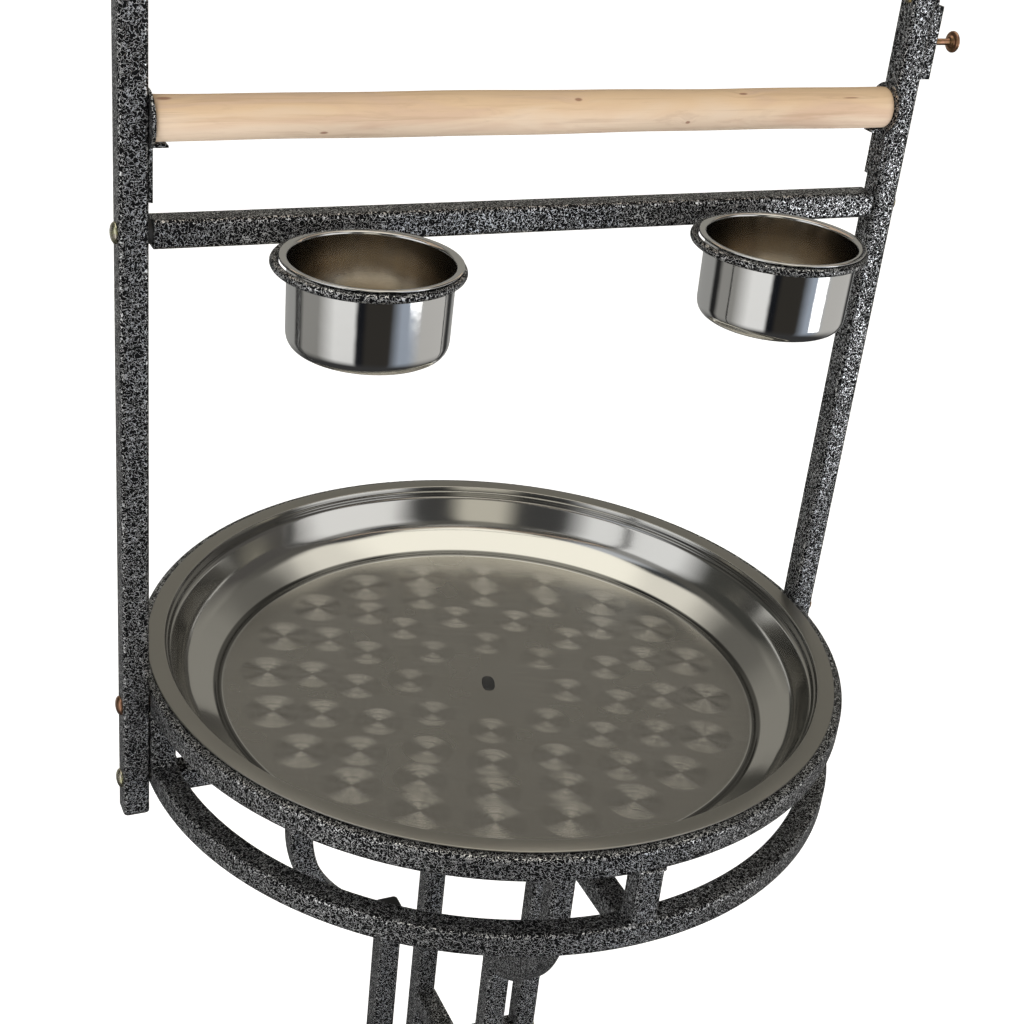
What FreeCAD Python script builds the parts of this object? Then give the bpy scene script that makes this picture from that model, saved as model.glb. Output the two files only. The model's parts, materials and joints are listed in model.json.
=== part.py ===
"""Parrot play stand: welded ring head, four columns on castors, uprights with a perch,
two food cups, a seed tray and a swinging toy arm. Millimetres, +Z up, +X to the right,
-Y to the front, origin on the floor under the centre of the rings."""
import FreeCAD, Part
import math
import os
import Sketcher
from FreeCAD import Placement, Rotation, Vector

doc = FreeCAD.newDocument("ParrotStand")
sheet = doc.addObject("Spreadsheet::Sheet", "dims")

DIMENSIONS = {
    # square tube that the whole frame is made of
    "tube": 16, "wall": 1.5, "corner": 2.2,
    # the two rings, one above the other
    "ring_top": 880, "ring_radius": 230, "ring_step": 54,
    # side uprights and the arch that joins them
    "upright_offset": 238.6, "upright_drop": 87, "upright_rise": 440, "joiner_length": 76,
    # M6 bolts with low round heads
    "bolt_radius": 3, "bolt_hole": 3.2, "bolt_length": 30, "head_radius": 6, "head_height": 3.2,
    "upper_bolt_drop": 10, "lower_bolt_drop": 64, "joint_bolt_gap": 22,
    # bar that carries the food cups
    "rail_height": 288.4, "spacer_gap": 2.5, "plug_length": 15,
    "cup_spread": 127, "cup_loop_radius": 49.7, "loop_rod": 2.5, "loop_height": 286,
    "cup_depth": 50.5, "cup_rim": 49, "cup_top": 44.8, "cup_base": 43.5, "cup_sheet": 1, "lift_gap": 0.3,
    "cup_aside": 1.3, "cup_forward": 0.9,
    # perch and its two brackets
    "perch_height": 349, "perch_radius": 12.5, "bracket_plate": 2, "bracket_head": 15.2,
    "bracket_width": 14, "bracket_foot": 306, "tongue_reach": 9,
    # toy arm, its sleeve and the thumbscrew
    "sleeve": 9, "sleeve_foot": 367, "sleeve_length": 44, "arm_radius": 2.5, "arm_bore": 2.56,
    "arm_top": 590, "arm_bend": 60, "arm_hook": 12, "arm_drop": 40,
    "screw_height": 389, "screw_radius": 2, "screw_bore": 2.05, "screw_reach": 13,
    # tray
    "tray_radius": 225, "tray_floor": 180, "tray_depth": 40, "tray_sheet": 1.2,
    # cross under the tray, scroll brackets and columns
    "low_bar_drop": 68.5, "bracket_reach": 129, "bracket_bend": 100, "bracket_drop": 130,
    "column_reach": 59, "column_drop": 215, "column_foot": 165,
    "spacer_drop": 365, "lower_spacer": 215,
    # feet and castors
    "leg_height": 185, "leg_bend": 100, "leg_reach": 235, "leg_end": 64,
    "socket_length": 26, "stem_radius": 4, "stem_bore": 4.05, "stem_length": 24, "crown_height": 60,
    "wheel_radius": 25, "wheel_width": 18, "axle_radius": 3, "axle_bore": 3.05, "trail": 22,
    "fork_gap": 20, "fork_width": 25,
}

for row, (alias, value) in enumerate(DIMENSIONS.items(), start=1):
    sheet.set(f"A{row}", alias)
    sheet.set(f"B{row}", str(value))
    sheet.setAlias(f"B{row}", alias)
doc.recompute()

BODY_PARTS = []
SIDES = (("left", -1), ("right", 1))
QUARTERS = (("left", 0), ("front", 90), ("right", 180), ("back", 270))


def number(expression):
    """Value of an expression on the sheet's cells."""
    return float(sheet.evalExpression(expression))


def new_body(label):
    body = doc.addObject("PartDesign::Body", label)
    body.Label = label
    BODY_PARTS.append(body)
    return body


def place(part, x="0", y="0", z="0", turn=0.0):
    """Stand a part at bound coordinates, turned about the vertical."""
    part.Placement = Placement(Vector(number(x), number(y), number(z)), Rotation(Vector(0, 0, 1), turn))
    for axis, expression in (("x", x), ("y", y), ("z", z)):
        part.setExpression("Placement.Base." + axis, expression)


def new_sketch(body, name, role, lift="0"):
    """Sketch on one of the body's origin planes, moved along the plane's normal by lift."""
    plane = [feature for feature in body.Origin.OriginFeatures if feature.Role == role][0]
    sketch = body.newObject("Sketcher::SketchObject", name)
    sketch.AttachmentSupport = [(plane, "")]
    sketch.MapMode = "FlatFace"
    sketch.AttachmentOffset = Placement(Vector(0, 0, number(lift)), Rotation())
    sketch.setExpression("AttachmentOffset.Base.z", lift)
    return sketch


def bind(sketch, constraint, name, expression):
    index = sketch.addConstraint(constraint)
    sketch.renameConstraint(index, name)
    sketch.setExpression("Constraints." + name, expression)


def pin_point(sketch, geometry, point, name, x, y):
    """Hold a point at bound distances from the sketch origin."""
    bind(sketch, Sketcher.Constraint("DistanceX", -1, 1, geometry, point, number(x)), name + "_x", x)
    bind(sketch, Sketcher.Constraint("DistanceY", -1, 1, geometry, point, number(y)), name + "_y", y)


def draw_circle(sketch, name, radius, x="0", y="0"):
    circle = Part.Circle(Vector(number(x), number(y), 0), Vector(0, 0, 1), number(radius))
    index = sketch.addGeometry(circle)
    pin_point(sketch, index, 3, name, x, y)
    bind(sketch, Sketcher.Constraint("Radius", index, number(radius)), name + "_radius", radius)


def draw_outline(sketch, name, points):
    """Closed outline of straight sides through bound points."""
    spots = [Vector(number(x), number(y), 0) for x, y in points]
    lines = [sketch.addGeometry(Part.LineSegment(spot, spots[(i + 1) % len(spots)]))
             for i, spot in enumerate(spots)]
    for i, line in enumerate(lines):
        sketch.addConstraint(Sketcher.Constraint("Coincident", line, 2, lines[(i + 1) % len(lines)], 1))
        pin_point(sketch, line, 1, f"{name}_{i}", *points[i])


def draw_rounded(sketch, name, side, corner, x="0", y="0"):
    """Square with rounded corners about a bound centre."""
    centre = Vector(number(x), number(y), 0)
    half, bend = number(side) / 2, number(corner)
    flat = half - bend
    lines, arcs = [], []
    for quarter in range(4):
        spin = Rotation(Vector(0, 0, 1), 90 * quarter)
        ends = [centre + spin.multVec(Vector(along, -half, 0)) for along in (-flat, flat)]
        lines.append(sketch.addGeometry(Part.LineSegment(*ends)))
        hub = Part.Circle(centre + spin.multVec(Vector(flat, -flat, 0)), Vector(0, 0, 1), bend)
        start = math.radians(90 * quarter - 90)
        arcs.append(sketch.addGeometry(Part.ArcOfCircle(hub, start, start + math.pi / 2)))
    middle = sketch.addGeometry(Part.Point(centre), True)
    for quarter in range(4):
        after = lines[(quarter + 1) % 4]
        sketch.addConstraint(Sketcher.Constraint("Tangent", lines[quarter], 2, arcs[quarter], 1))
        sketch.addConstraint(Sketcher.Constraint("Tangent", arcs[quarter], 2, after, 1))
        sketch.addConstraint(Sketcher.Constraint(("Horizontal", "Vertical")[quarter % 2], lines[quarter]))
    for arc in arcs[1:]:
        sketch.addConstraint(Sketcher.Constraint("Equal", arcs[0], arc))
    sketch.addConstraint(Sketcher.Constraint("Symmetric", lines[0], 1, lines[2], 1, middle, 1))
    pin_point(sketch, middle, 1, name + "_centre", x, y)
    width = Sketcher.Constraint("DistanceX", lines[3], 1, lines[1], 1, number(side))
    height = Sketcher.Constraint("DistanceY", lines[0], 1, lines[2], 1, number(side))
    bind(sketch, width, name + "_width", side)
    bind(sketch, height, name + "_height", side)
    bind(sketch, Sketcher.Constraint("Radius", arcs[0], bend), name + "_corner", corner)


def draw_tube(sketch, x="0", y="0"):
    """Section of the square tube: an outer and an inner rounded square."""
    draw_rounded(sketch, "outer", "dims.tube", "dims.corner", x, y)
    draw_rounded(sketch, "inner", "dims.tube - 2*dims.wall", "dims.corner - dims.wall", x, y)


def add_pad(body, sketch, length, centred=False):
    pad = body.newObject("PartDesign::Pad", sketch.Name + "_pad")
    pad.Profile = sketch
    pad.Length = number(length)
    pad.setExpression("Length", length)
    if centred:
        pad.SideType = "Symmetric"
    return pad


def add_pocket(body, sketch, length):
    """Cut a sketch out of the body, half the length to each side of its plane."""
    pocket = body.newObject("PartDesign::Pocket", sketch.Name + "_pocket")
    pocket.Profile = sketch
    pocket.SideType = "Symmetric"
    pocket.Length = number(length)
    pocket.setExpression("Length", length)
    return pocket


def add_turning(body, sketch, axis="V_Axis"):
    turning = body.newObject("PartDesign::Revolution", sketch.Name + "_turning")
    turning.Profile = sketch
    turning.ReferenceAxis = (sketch, [axis])
    turning.Angle = 360
    return turning


def add_pipe(body, section, path):
    doc.recompute()
    pipe = body.newObject("PartDesign::AdditivePipe", "pipe")
    pipe.Profile = section
    pipe.Spine = path
    return pipe


def drill(body, name, role, heights, radius, length):
    """Round holes through the body at the given heights on its middle line."""
    sketch = new_sketch(body, name, role)
    for i, height in enumerate(heights):
        draw_circle(sketch, f"hole_{i}", radius, "0", height)
    add_pocket(body, sketch, length)


def straight_tube(label, start, length):
    """Upright tube that stands on its own origin plane at the height start."""
    body = new_body(label)
    section = new_sketch(body, "section", "XY_Plane", start)
    draw_tube(section)
    add_pad(body, section, length)
    return body


def lying_tube(label, start, length):
    """Tube along +X from start."""
    body = new_body(label)
    section = new_sketch(body, "section", "YZ_Plane", start)
    draw_tube(section)
    add_pad(body, section, length)
    return body


def grouped(label, shape, spots):
    """Identical small parts as separate solids of one node."""
    group = doc.addObject("Part::Feature", label)
    group.Label = label
    group.Shape = Part.makeCompound([shape.transformed(spot.toMatrix()) for spot in spots])
    BODY_PARTS.append(group)
    return group


def pattern_shape(label):
    """Body that only serves as the pattern of a group."""
    body = new_body(label)
    BODY_PARTS.remove(body)
    return body


def facing(side):
    """Rotation that points a part's own +X outwards on the left (-1) or right (+1)."""
    return Rotation(Vector(0, 0, 1), 90 - 90 * side)


# ---------------------------------------------------------------- rings and stubs

def build_ring(label, top, bolt_drop):
    ring = new_body(label)
    section = new_sketch(ring, "section", "XZ_Plane")
    draw_tube(section, "dims.ring_radius - dims.tube/2", top + " - dims.tube/2")
    add_turning(ring, section)
    drill(ring, "bolt_holes", "YZ_Plane", ["-" + bolt_drop], "dims.bolt_hole", "3*dims.ring_radius")
    place(ring, z="dims.ring_top")


build_ring("upper_ring", "0", "dims.upper_bolt_drop")
build_ring("lower_ring", "-dims.ring_step", "dims.lower_bolt_drop")

for side, angle in QUARTERS:
    stub = straight_tube(f"ring_stub_{side}", "0", "dims.ring_step - dims.tube")
    reach = "dims.ring_radius - dims.tube/2"
    outward = Rotation(Vector(0, 0, 1), angle + 180).multVec(Vector(1, 0, 0))
    place(stub, f"({reach})*{round(outward.x)}", f"({reach})*{round(outward.y)}",
          "dims.ring_top - dims.ring_step", angle)

# ---------------------------------------------------------------- cross under the tray

BAR_REACH = "dims.ring_radius - dims.tube - 0.2"
across = lying_tube("low_bar_across", f"-({BAR_REACH})", f"2*({BAR_REACH})")
place(across, z="dims.ring_top - dims.low_bar_drop")
for side, angle in (("front", -90), ("back", 90)):
    bar = lying_tube(f"low_bar_{side}", "dims.tube/2", f"{BAR_REACH} - dims.tube/2")
    place(bar, z="dims.ring_top - dims.low_bar_drop", turn=angle)


def build_scroll(side, angle):
    """Scroll bracket: down from the cross, then a round bend in to the column's face."""
    scroll = new_body(f"scroll_bracket_{side}")
    reach, bend, drop = number("dims.bracket_reach"), number("dims.bracket_bend"), number("dims.bracket_drop")
    start = number("dims.low_bar_drop + dims.tube/2")
    path = new_sketch(scroll, "path", "XZ_Plane")
    line = path.addGeometry(Part.LineSegment(Vector(-reach, -start, 0), Vector(-reach, -drop, 0)))
    round_part = Part.Circle(Vector(bend - reach, -drop, 0), Vector(0, 0, 1), bend)
    arc = path.addGeometry(Part.ArcOfCircle(round_part, math.pi, 1.5 * math.pi))
    path.addConstraint(Sketcher.Constraint("Tangent", line, 2, arc, 1))
    pin_point(path, line, 1, "top", "-dims.bracket_reach", "-dims.low_bar_drop - dims.tube/2")
    pin_point(path, arc, 3, "centre", "dims.bracket_bend - dims.bracket_reach", "-dims.bracket_drop")
    bind(path, Sketcher.Constraint("Radius", arc, bend), "bend", "dims.bracket_bend")
    bind(path, Sketcher.Constraint("DistanceX", -1, 1, arc, 2, bend - reach), "end",
         "dims.bracket_bend - dims.bracket_reach")
    section = new_sketch(scroll, "section", "XY_Plane", "-dims.low_bar_drop - dims.tube/2")
    draw_tube(section, "-dims.bracket_reach")
    add_pipe(scroll, section, path)
    cope = new_sketch(scroll, "cope", "XZ_Plane")
    face = "-dims.column_reach - dims.tube/2"
    low = "-dims.bracket_drop - dims.bracket_bend - dims.tube"
    draw_outline(cope, "cope", [(face, low), ("0", low), ("0", "-dims.bracket_drop"),
                                (face, "-dims.bracket_drop")])
    add_pocket(scroll, cope, "2*dims.tube")
    place(scroll, z="dims.ring_top", turn=angle)


for side, angle in QUARTERS:
    build_scroll(side, angle)

# ---------------------------------------------------------------- columns and spacers

COLUMN_TOP = "dims.ring_top - dims.column_drop"
SPACER_HEIGHTS = ("dims.ring_top - dims.spacer_drop", "dims.lower_spacer")

for side, angle in QUARTERS:
    column = straight_tube(f"column_{side}", "dims.column_foot", f"{COLUMN_TOP} - dims.column_foot")
    drill(column, "bolt_holes", "YZ_Plane", SPACER_HEIGHTS, "dims.bolt_hole", "2*dims.tube")
    outward = Rotation(Vector(0, 0, 1), angle + 180).multVec(Vector(1, 0, 0))
    place(column, f"dims.column_reach*{round(outward.x)}", f"dims.column_reach*{round(outward.y)}",
          "0", angle)

for label, height in zip(("column_spacer_upper", "column_spacer_lower"), SPACER_HEIGHTS):
    cross = new_body(label)
    span = "2*dims.column_reach - dims.tube"
    for role in ("YZ_Plane", "XZ_Plane"):
        arm = new_sketch(cross, "arm_" + role[:2], role)
        draw_rounded(arm, "outer", "dims.tube", "dims.corner")
        add_pad(cross, arm, span, centred=True)
    for role in ("YZ_Plane", "XZ_Plane"):
        hollow = new_sketch(cross, "hollow_" + role[:2], role)
        draw_rounded(hollow, "inner", "dims.tube - 2*dims.wall", "dims.corner - dims.wall")
        add_pocket(cross, hollow, f"{span} + 2")
    place(cross, z=height)

# ---------------------------------------------------------------- feet and castors


def build_leg(side, angle):
    """Leg: out from the column's face, then a round bend down to the castor socket."""
    leg = new_body(f"leg_{side}")
    height, bend = number("dims.leg_height"), number("dims.leg_bend")
    reach, end = number("dims.leg_reach"), number("dims.leg_end")
    face = number("dims.column_reach + dims.tube/2")
    path = new_sketch(leg, "path", "XZ_Plane")
    out = path.addGeometry(Part.LineSegment(Vector(-face, height, 0), Vector(bend - reach, height, 0)))
    round_part = Part.Circle(Vector(bend - reach, height - bend, 0), Vector(0, 0, 1), bend)
    arc = path.addGeometry(Part.ArcOfCircle(round_part, math.pi / 2, math.pi))
    down = path.addGeometry(Part.LineSegment(Vector(-reach, height - bend, 0), Vector(-reach, end, 0)))
    path.addConstraint(Sketcher.Constraint("Tangent", out, 2, arc, 1))
    path.addConstraint(Sketcher.Constraint("Tangent", arc, 2, down, 1))
    path.addConstraint(Sketcher.Constraint("Vertical", down))
    pin_point(path, out, 1, "start", "-dims.column_reach - dims.tube/2", "dims.leg_height")
    bind(path, Sketcher.Constraint("DistanceX", -1, 1, arc, 3, bend - reach), "hub",
         "dims.leg_bend - dims.leg_reach")
    bind(path, Sketcher.Constraint("Radius", arc, bend), "bend", "dims.leg_bend")
    path.addConstraint(Sketcher.Constraint("Horizontal", out))
    bind(path, Sketcher.Constraint("DistanceY", -1, 1, down, 2, end), "end", "dims.leg_end")
    section = new_sketch(leg, "section", "YZ_Plane", "-dims.column_reach - dims.tube/2")
    draw_tube(section, "0", "dims.leg_height")
    add_pipe(leg, section, path)
    place(leg, turn=angle)


for side, angle in QUARTERS:
    build_leg(side, angle)

socket = pattern_shape("castor_socket")
socket_half = new_sketch(socket, "half", "XZ_Plane")
SOCKET_FOOT = "dims.leg_end - 3"
draw_outline(socket_half, "socket", [
    ("dims.stem_bore", SOCKET_FOOT), ("11", SOCKET_FOOT), ("11", "dims.leg_end"),
    ("6.4", "dims.leg_end"), ("6.4", f"{SOCKET_FOOT} + dims.socket_length"),
    ("0", f"{SOCKET_FOOT} + dims.socket_length"), ("0", f"{SOCKET_FOOT} + dims.socket_length - 2"),
    ("dims.stem_bore", f"{SOCKET_FOOT} + dims.socket_length - 2")])
add_turning(socket, socket_half)
doc.recompute()
grouped("castor_sockets", socket.Shape,
        [Placement(Rotation(Vector(0, 0, 1), angle).multVec(Vector(-number("dims.leg_reach"), 0, 0)),
                   Rotation()) for side, angle in QUARTERS])


def build_fork(side, angle):
    """Castor fork: crown and two cheeks over the wheel, with the swivel stem on top."""
    fork = new_body(f"castor_fork_{side}")
    cheeks = new_sketch(fork, "cheeks", "XZ_Plane")
    draw_outline(cheeks, "cheek", [
        ("13", "dims.crown_height"), ("-18", "dims.crown_height"), ("-dims.trail - 9", "38"),
        ("-dims.trail - 9", "21"), ("-dims.trail - 4", "16"), ("-dims.trail + 4", "16"),
        ("-dims.trail + 10", "22"), ("13", "44")])
    add_pad(fork, cheeks, "dims.fork_width", centred=True)
    slot = new_sketch(fork, "slot", "XZ_Plane")
    draw_circle(slot, "slot", "dims.wheel_radius + 3", "-dims.trail", "dims.wheel_radius")
    add_pocket(fork, slot, "dims.fork_gap")
    eye = new_sketch(fork, "eye", "XZ_Plane")
    draw_circle(eye, "eye", "dims.axle_bore", "-dims.trail", "dims.wheel_radius")
    add_pocket(fork, eye, "2*dims.fork_width")
    stem = new_sketch(fork, "stem", "XY_Plane", "dims.crown_height")
    draw_circle(stem, "stem", "dims.stem_radius")
    add_pad(fork, stem, "dims.stem_length")
    put_on_leg(fork, angle)


def put_on_leg(part, angle, out="0", z="0"):
    """Stand a castor part under the end of a leg, out being how far beyond the swivel axis."""
    outward = Rotation(Vector(0, 0, 1), angle).multVec(Vector(-1, 0, 0))
    place(part, f"(dims.leg_reach + {out})*{round(outward.x)}",
          f"(dims.leg_reach + {out})*{round(outward.y)}", z, angle)


def build_wheel(side, angle):
    wheel = new_body(f"castor_wheel_{side}")
    half = new_sketch(wheel, "half", "XY_Plane")
    edge, web = "dims.wheel_width/2", "dims.wheel_width/2 - 3"
    rim = [("dims.axle_bore", edge), ("8", edge), ("9", web), ("18", web), ("19.5", edge),
           ("dims.wheel_radius - 2", edge), ("dims.wheel_radius", "dims.wheel_width/2 - 2.5")]
    mirrored = [(x, f"-({y})") for x, y in reversed(rim)]
    draw_outline(half, "wheel", rim + mirrored)
    add_turning(wheel, half)
    put_on_leg(wheel, angle, "dims.trail", "dims.wheel_radius")


def build_axle(side, angle):
    axle = new_body(f"castor_axle_{side}")
    half = new_sketch(axle, "half", "XY_Plane")
    ends, cheek = "dims.fork_width/2 + 2", "dims.fork_width/2"
    draw_outline(half, "axle", [
        ("0", f"-({ends})"), ("4.5", f"-({ends})"), ("4.5", f"-{cheek}"), ("dims.axle_radius", f"-{cheek}"),
        ("dims.axle_radius", cheek), ("4.5", cheek), ("4.5", ends), ("0", ends)])
    add_turning(axle, half)
    put_on_leg(axle, angle, "dims.trail", "dims.wheel_radius")


for side, angle in QUARTERS:
    build_fork(side, angle)
    build_wheel(side, angle)
    build_axle(side, angle)

# ---------------------------------------------------------------- uprights and arch

UPRIGHT_FOOT = "dims.ring_top - dims.upright_drop"
UPRIGHT_TOP = "dims.ring_top + dims.upright_rise"
UPRIGHT_BOLTS = ("dims.ring_top - dims.upper_bolt_drop", "dims.ring_top - dims.lower_bolt_drop",
                 "dims.ring_top + dims.rail_height", f"{UPRIGHT_TOP} - dims.joint_bolt_gap")

for side, sign in SIDES:
    upright = straight_tube(f"{side}_upright", UPRIGHT_FOOT, f"{UPRIGHT_TOP} - ({UPRIGHT_FOOT})")
    drill(upright, "bolt_holes", "YZ_Plane", UPRIGHT_BOLTS, "dims.bolt_hole", "2*dims.tube")
    place(upright, f"{sign}*dims.upright_offset")


def build_arch():
    """Half-round arch that closes the frame over the perch, with short straight ends."""
    arch = new_body("top_arch")
    straight = "2*dims.joint_bolt_gap"
    reach, rise = number("dims.upright_offset"), number(straight)
    path = new_sketch(arch, "path", "XZ_Plane")
    up = path.addGeometry(Part.LineSegment(Vector(-reach, 0, 0), Vector(-reach, rise, 0)))
    hub = Part.Circle(Vector(0, rise, 0), Vector(0, 0, 1), reach)
    arc = path.addGeometry(Part.ArcOfCircle(hub, 0, math.pi))
    down = path.addGeometry(Part.LineSegment(Vector(reach, rise, 0), Vector(reach, 0, 0)))
    path.addConstraint(Sketcher.Constraint("Tangent", up, 2, arc, 2))
    path.addConstraint(Sketcher.Constraint("Tangent", arc, 1, down, 1))
    path.addConstraint(Sketcher.Constraint("Vertical", down))
    pin_point(path, up, 1, "foot", "-dims.upright_offset", "0")
    pin_point(path, arc, 3, "hub", "0", straight)
    bind(path, Sketcher.Constraint("Radius", arc, reach), "bend", "dims.upright_offset")
    bind(path, Sketcher.Constraint("DistanceY", -1, 1, down, 2, 0), "other_foot", "0")
    section = new_sketch(arch, "section", "XY_Plane")
    draw_tube(section, "-dims.upright_offset")
    add_pipe(arch, section, path)
    drill(arch, "bolt_holes", "YZ_Plane", ["dims.joint_bolt_gap"], "dims.bolt_hole",
          "3*dims.upright_offset")
    place(arch, z=UPRIGHT_TOP)


build_arch()

joiner = pattern_shape("joiner")
joiner_section = new_sketch(joiner, "section", "XY_Plane")
draw_rounded(joiner_section, "outer", "dims.tube - 2*dims.wall - 0.1", "0.6")
draw_rounded(joiner_section, "inner", "dims.tube - 4*dims.wall", "0.4")
joiner_pad = add_pad(joiner, joiner_section, "dims.joiner_length", centred=True)
drill(joiner, "bolt_holes", "YZ_Plane", ["dims.joint_bolt_gap", "-dims.joint_bolt_gap"], "dims.bolt_hole",
      "2*dims.tube")
doc.recompute()
grouped("arch_joiners", joiner.Shape,
        [Placement(Vector(sign * number("dims.upright_offset"), 0, number(UPRIGHT_TOP)), Rotation())
         for side, sign in SIDES])

# ---------------------------------------------------------------- bolts, nuts and plugs

bolt = pattern_shape("bolt")
bolt_half = new_sketch(bolt, "half", "XY_Plane")
draw_outline(bolt_half, "bolt", [
    ("-dims.bolt_length", "0"), ("dims.head_height", "0"), ("dims.head_height", "2.4"),
    ("0.72*dims.head_height", "4.4"), ("0.3*dims.head_height", "dims.head_radius"),
    ("0", "dims.head_radius"), ("0", "dims.bolt_radius"), ("-dims.bolt_length", "dims.bolt_radius")])
add_turning(bolt, bolt_half, "H_Axis")

nut = pattern_shape("nut")
nut_half = new_sketch(nut, "half", "XY_Plane")
draw_outline(nut_half, "nut", [("-5", "dims.bolt_hole"), ("0", "dims.bolt_hole"), ("0", "4.3"),
                               ("-5", "4.3")])
add_turning(nut, nut_half, "H_Axis")

spacer = pattern_shape("spacer")
spacer_half = new_sketch(spacer, "half", "XY_Plane")
draw_outline(spacer_half, "spacer", [
    ("-dims.spacer_gap", "dims.bolt_hole"), ("0", "dims.bolt_hole"), ("0", "6.5"),
    ("-dims.spacer_gap", "6.5")])
add_turning(spacer, spacer_half, "H_Axis")

plug = pattern_shape("rail_plug")
plug_section = new_sketch(plug, "section", "YZ_Plane", "-dims.plug_length")
draw_rounded(plug_section, "outer", "dims.tube - 2*dims.wall - 0.1", "0.6")
draw_circle(plug_section, "bore", "dims.bolt_hole")
add_pad(plug, plug_section, "dims.plug_length")

cap = pattern_shape("tube_cap")
cap_plate = new_sketch(cap, "plate", "XY_Plane")
draw_rounded(cap_plate, "plate", "dims.tube", "dims.corner")
add_pad(cap, cap_plate, "1.4")
cap_skirt = new_sketch(cap, "skirt", "XY_Plane", "-9")
draw_rounded(cap_skirt, "skirt", "dims.tube - 2*dims.wall - 0.1", "0.6")
add_pad(cap, cap_skirt, "9")
doc.recompute()

outer_face = number("dims.upright_offset + dims.tube/2")
inner_face = number("dims.upright_offset - dims.tube/2")


def on_both_sides(reach, heights):
    return [Placement(Vector(sign * reach, 0, number(height)), facing(sign))
            for side, sign in SIDES for height in heights]


grouped("upright_bolts", bolt.Shape, on_both_sides(outer_face, UPRIGHT_BOLTS[:3]))
ring_bore = number("dims.ring_radius - dims.wall") - 0.3
grouped("ring_nuts", nut.Shape, on_both_sides(ring_bore, UPRIGHT_BOLTS[:2]))
grouped("rail_spacers", spacer.Shape, on_both_sides(inner_face, UPRIGHT_BOLTS[2:3]))
grouped("rail_plugs", plug.Shape,
        on_both_sides(inner_face - number("dims.spacer_gap"), UPRIGHT_BOLTS[2:3]))

short_bolt = bolt.Shape.common(Part.makeBox(40, 20, 20, Vector(-11, -10, -10)))
grouped("arch_bolts", short_bolt, [
    Placement(Vector(sign * inner_face, 0, number(height)), facing(-sign)) for side, sign in SIDES
    for height in (UPRIGHT_BOLTS[3], f"{UPRIGHT_TOP} + dims.joint_bolt_gap")])

column_face = number("dims.column_reach + dims.tube/2")
grouped("column_bolts", bolt.Shape, [
    Placement(Rotation(Vector(0, 0, 1), angle).multVec(Vector(column_face, 0, number(height))),
              Rotation(Vector(0, 0, 1), angle)) for side, angle in QUARTERS for height in SPACER_HEIGHTS])

upside_down = Rotation(Vector(1, 0, 0), 180)
cap_spots = [Placement(Vector(sign * number("dims.upright_offset"), 0, number(UPRIGHT_FOOT)), upside_down)
             for side, sign in SIDES]
for side, angle in QUARTERS:
    axis = Rotation(Vector(0, 0, 1), angle).multVec(Vector(-number("dims.column_reach"), 0, 0))
    cap_spots.append(Placement(axis + Vector(0, 0, number(COLUMN_TOP)), Rotation()))
    cap_spots.append(Placement(axis + Vector(0, 0, number("dims.column_foot")), upside_down))
grouped("tube_caps", cap.Shape, cap_spots)

# ---------------------------------------------------------------- cup rail, cup loops and cups

RAIL_REACH = "dims.upright_offset - dims.tube/2 - dims.spacer_gap"
rail = lying_tube("cup_rail", f"-({RAIL_REACH})", f"2*({RAIL_REACH})")
place(rail, z="dims.ring_top + dims.rail_height")

LOOP_SETBACK = "-(dims.tube/2 + dims.cup_loop_radius + dims.loop_rod)"
for side, sign in SIDES:
    loop = doc.addObject("Part::Torus", f"cup_loop_{side}")
    loop.Label = f"cup_loop_{side}"
    loop.setExpression("Radius1", "dims.cup_loop_radius")
    loop.setExpression("Radius2", "dims.loop_rod")
    place(loop, f"{sign}*dims.cup_spread", LOOP_SETBACK, "dims.ring_top + dims.loop_height")
    BODY_PARTS.append(loop)

    cup = new_body(f"food_cup_{side}")
    wall = new_sketch(cup, "wall", "XZ_Plane")
    lip = "dims.cup_depth - 1.4"
    draw_outline(wall, "cup", [
        ("0", "0"), ("dims.cup_base - 7", "0"), ("dims.cup_base - 2", "2"), ("dims.cup_base", "7"),
        ("dims.cup_top", lip), ("dims.cup_rim", lip), ("dims.cup_rim", "dims.cup_depth"),
        ("dims.cup_top - dims.cup_sheet", "dims.cup_depth"), ("dims.cup_base - dims.cup_sheet", "7.4"),
        ("dims.cup_base - 2.8", "2.8"), ("dims.cup_base - 7.4", "dims.cup_sheet"), ("0", "dims.cup_sheet")])
    add_turning(cup, wall)
    place(cup, f"{sign}*dims.cup_spread + dims.cup_aside", f"{LOOP_SETBACK} - dims.cup_forward",
          f"dims.ring_top + dims.loop_height + dims.loop_rod + dims.lift_gap - ({lip})")

# ---------------------------------------------------------------- perch and brackets

PERCH_REACH = "dims.upright_offset - dims.tube/2 - dims.bracket_plate"
perch = new_body("perch")
perch_half = new_sketch(perch, "half", "XY_Plane")
draw_outline(perch_half, "perch", [
    (f"-({PERCH_REACH})", "0"), (PERCH_REACH, "0"), (PERCH_REACH, "dims.perch_radius - 3"),
    (f"{PERCH_REACH} - 3", "dims.perch_radius"), (f"3 - ({PERCH_REACH})", "dims.perch_radius"),
    (f"-({PERCH_REACH})", "dims.perch_radius - 3")])
add_turning(perch, perch_half, "H_Axis")
SCREW_REACH = f"{PERCH_REACH} - dims.tongue_reach/2 - 0.5"
pilots = new_sketch(perch, "pilots", "XY_Plane", "-dims.perch_radius")
for side, sign in SIDES:
    draw_circle(pilots, "pilot_" + side, "1.75", f"{sign}*({SCREW_REACH})")
add_pocket(perch, pilots, "20")
place(perch, z="dims.ring_top + dims.perch_height")

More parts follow.
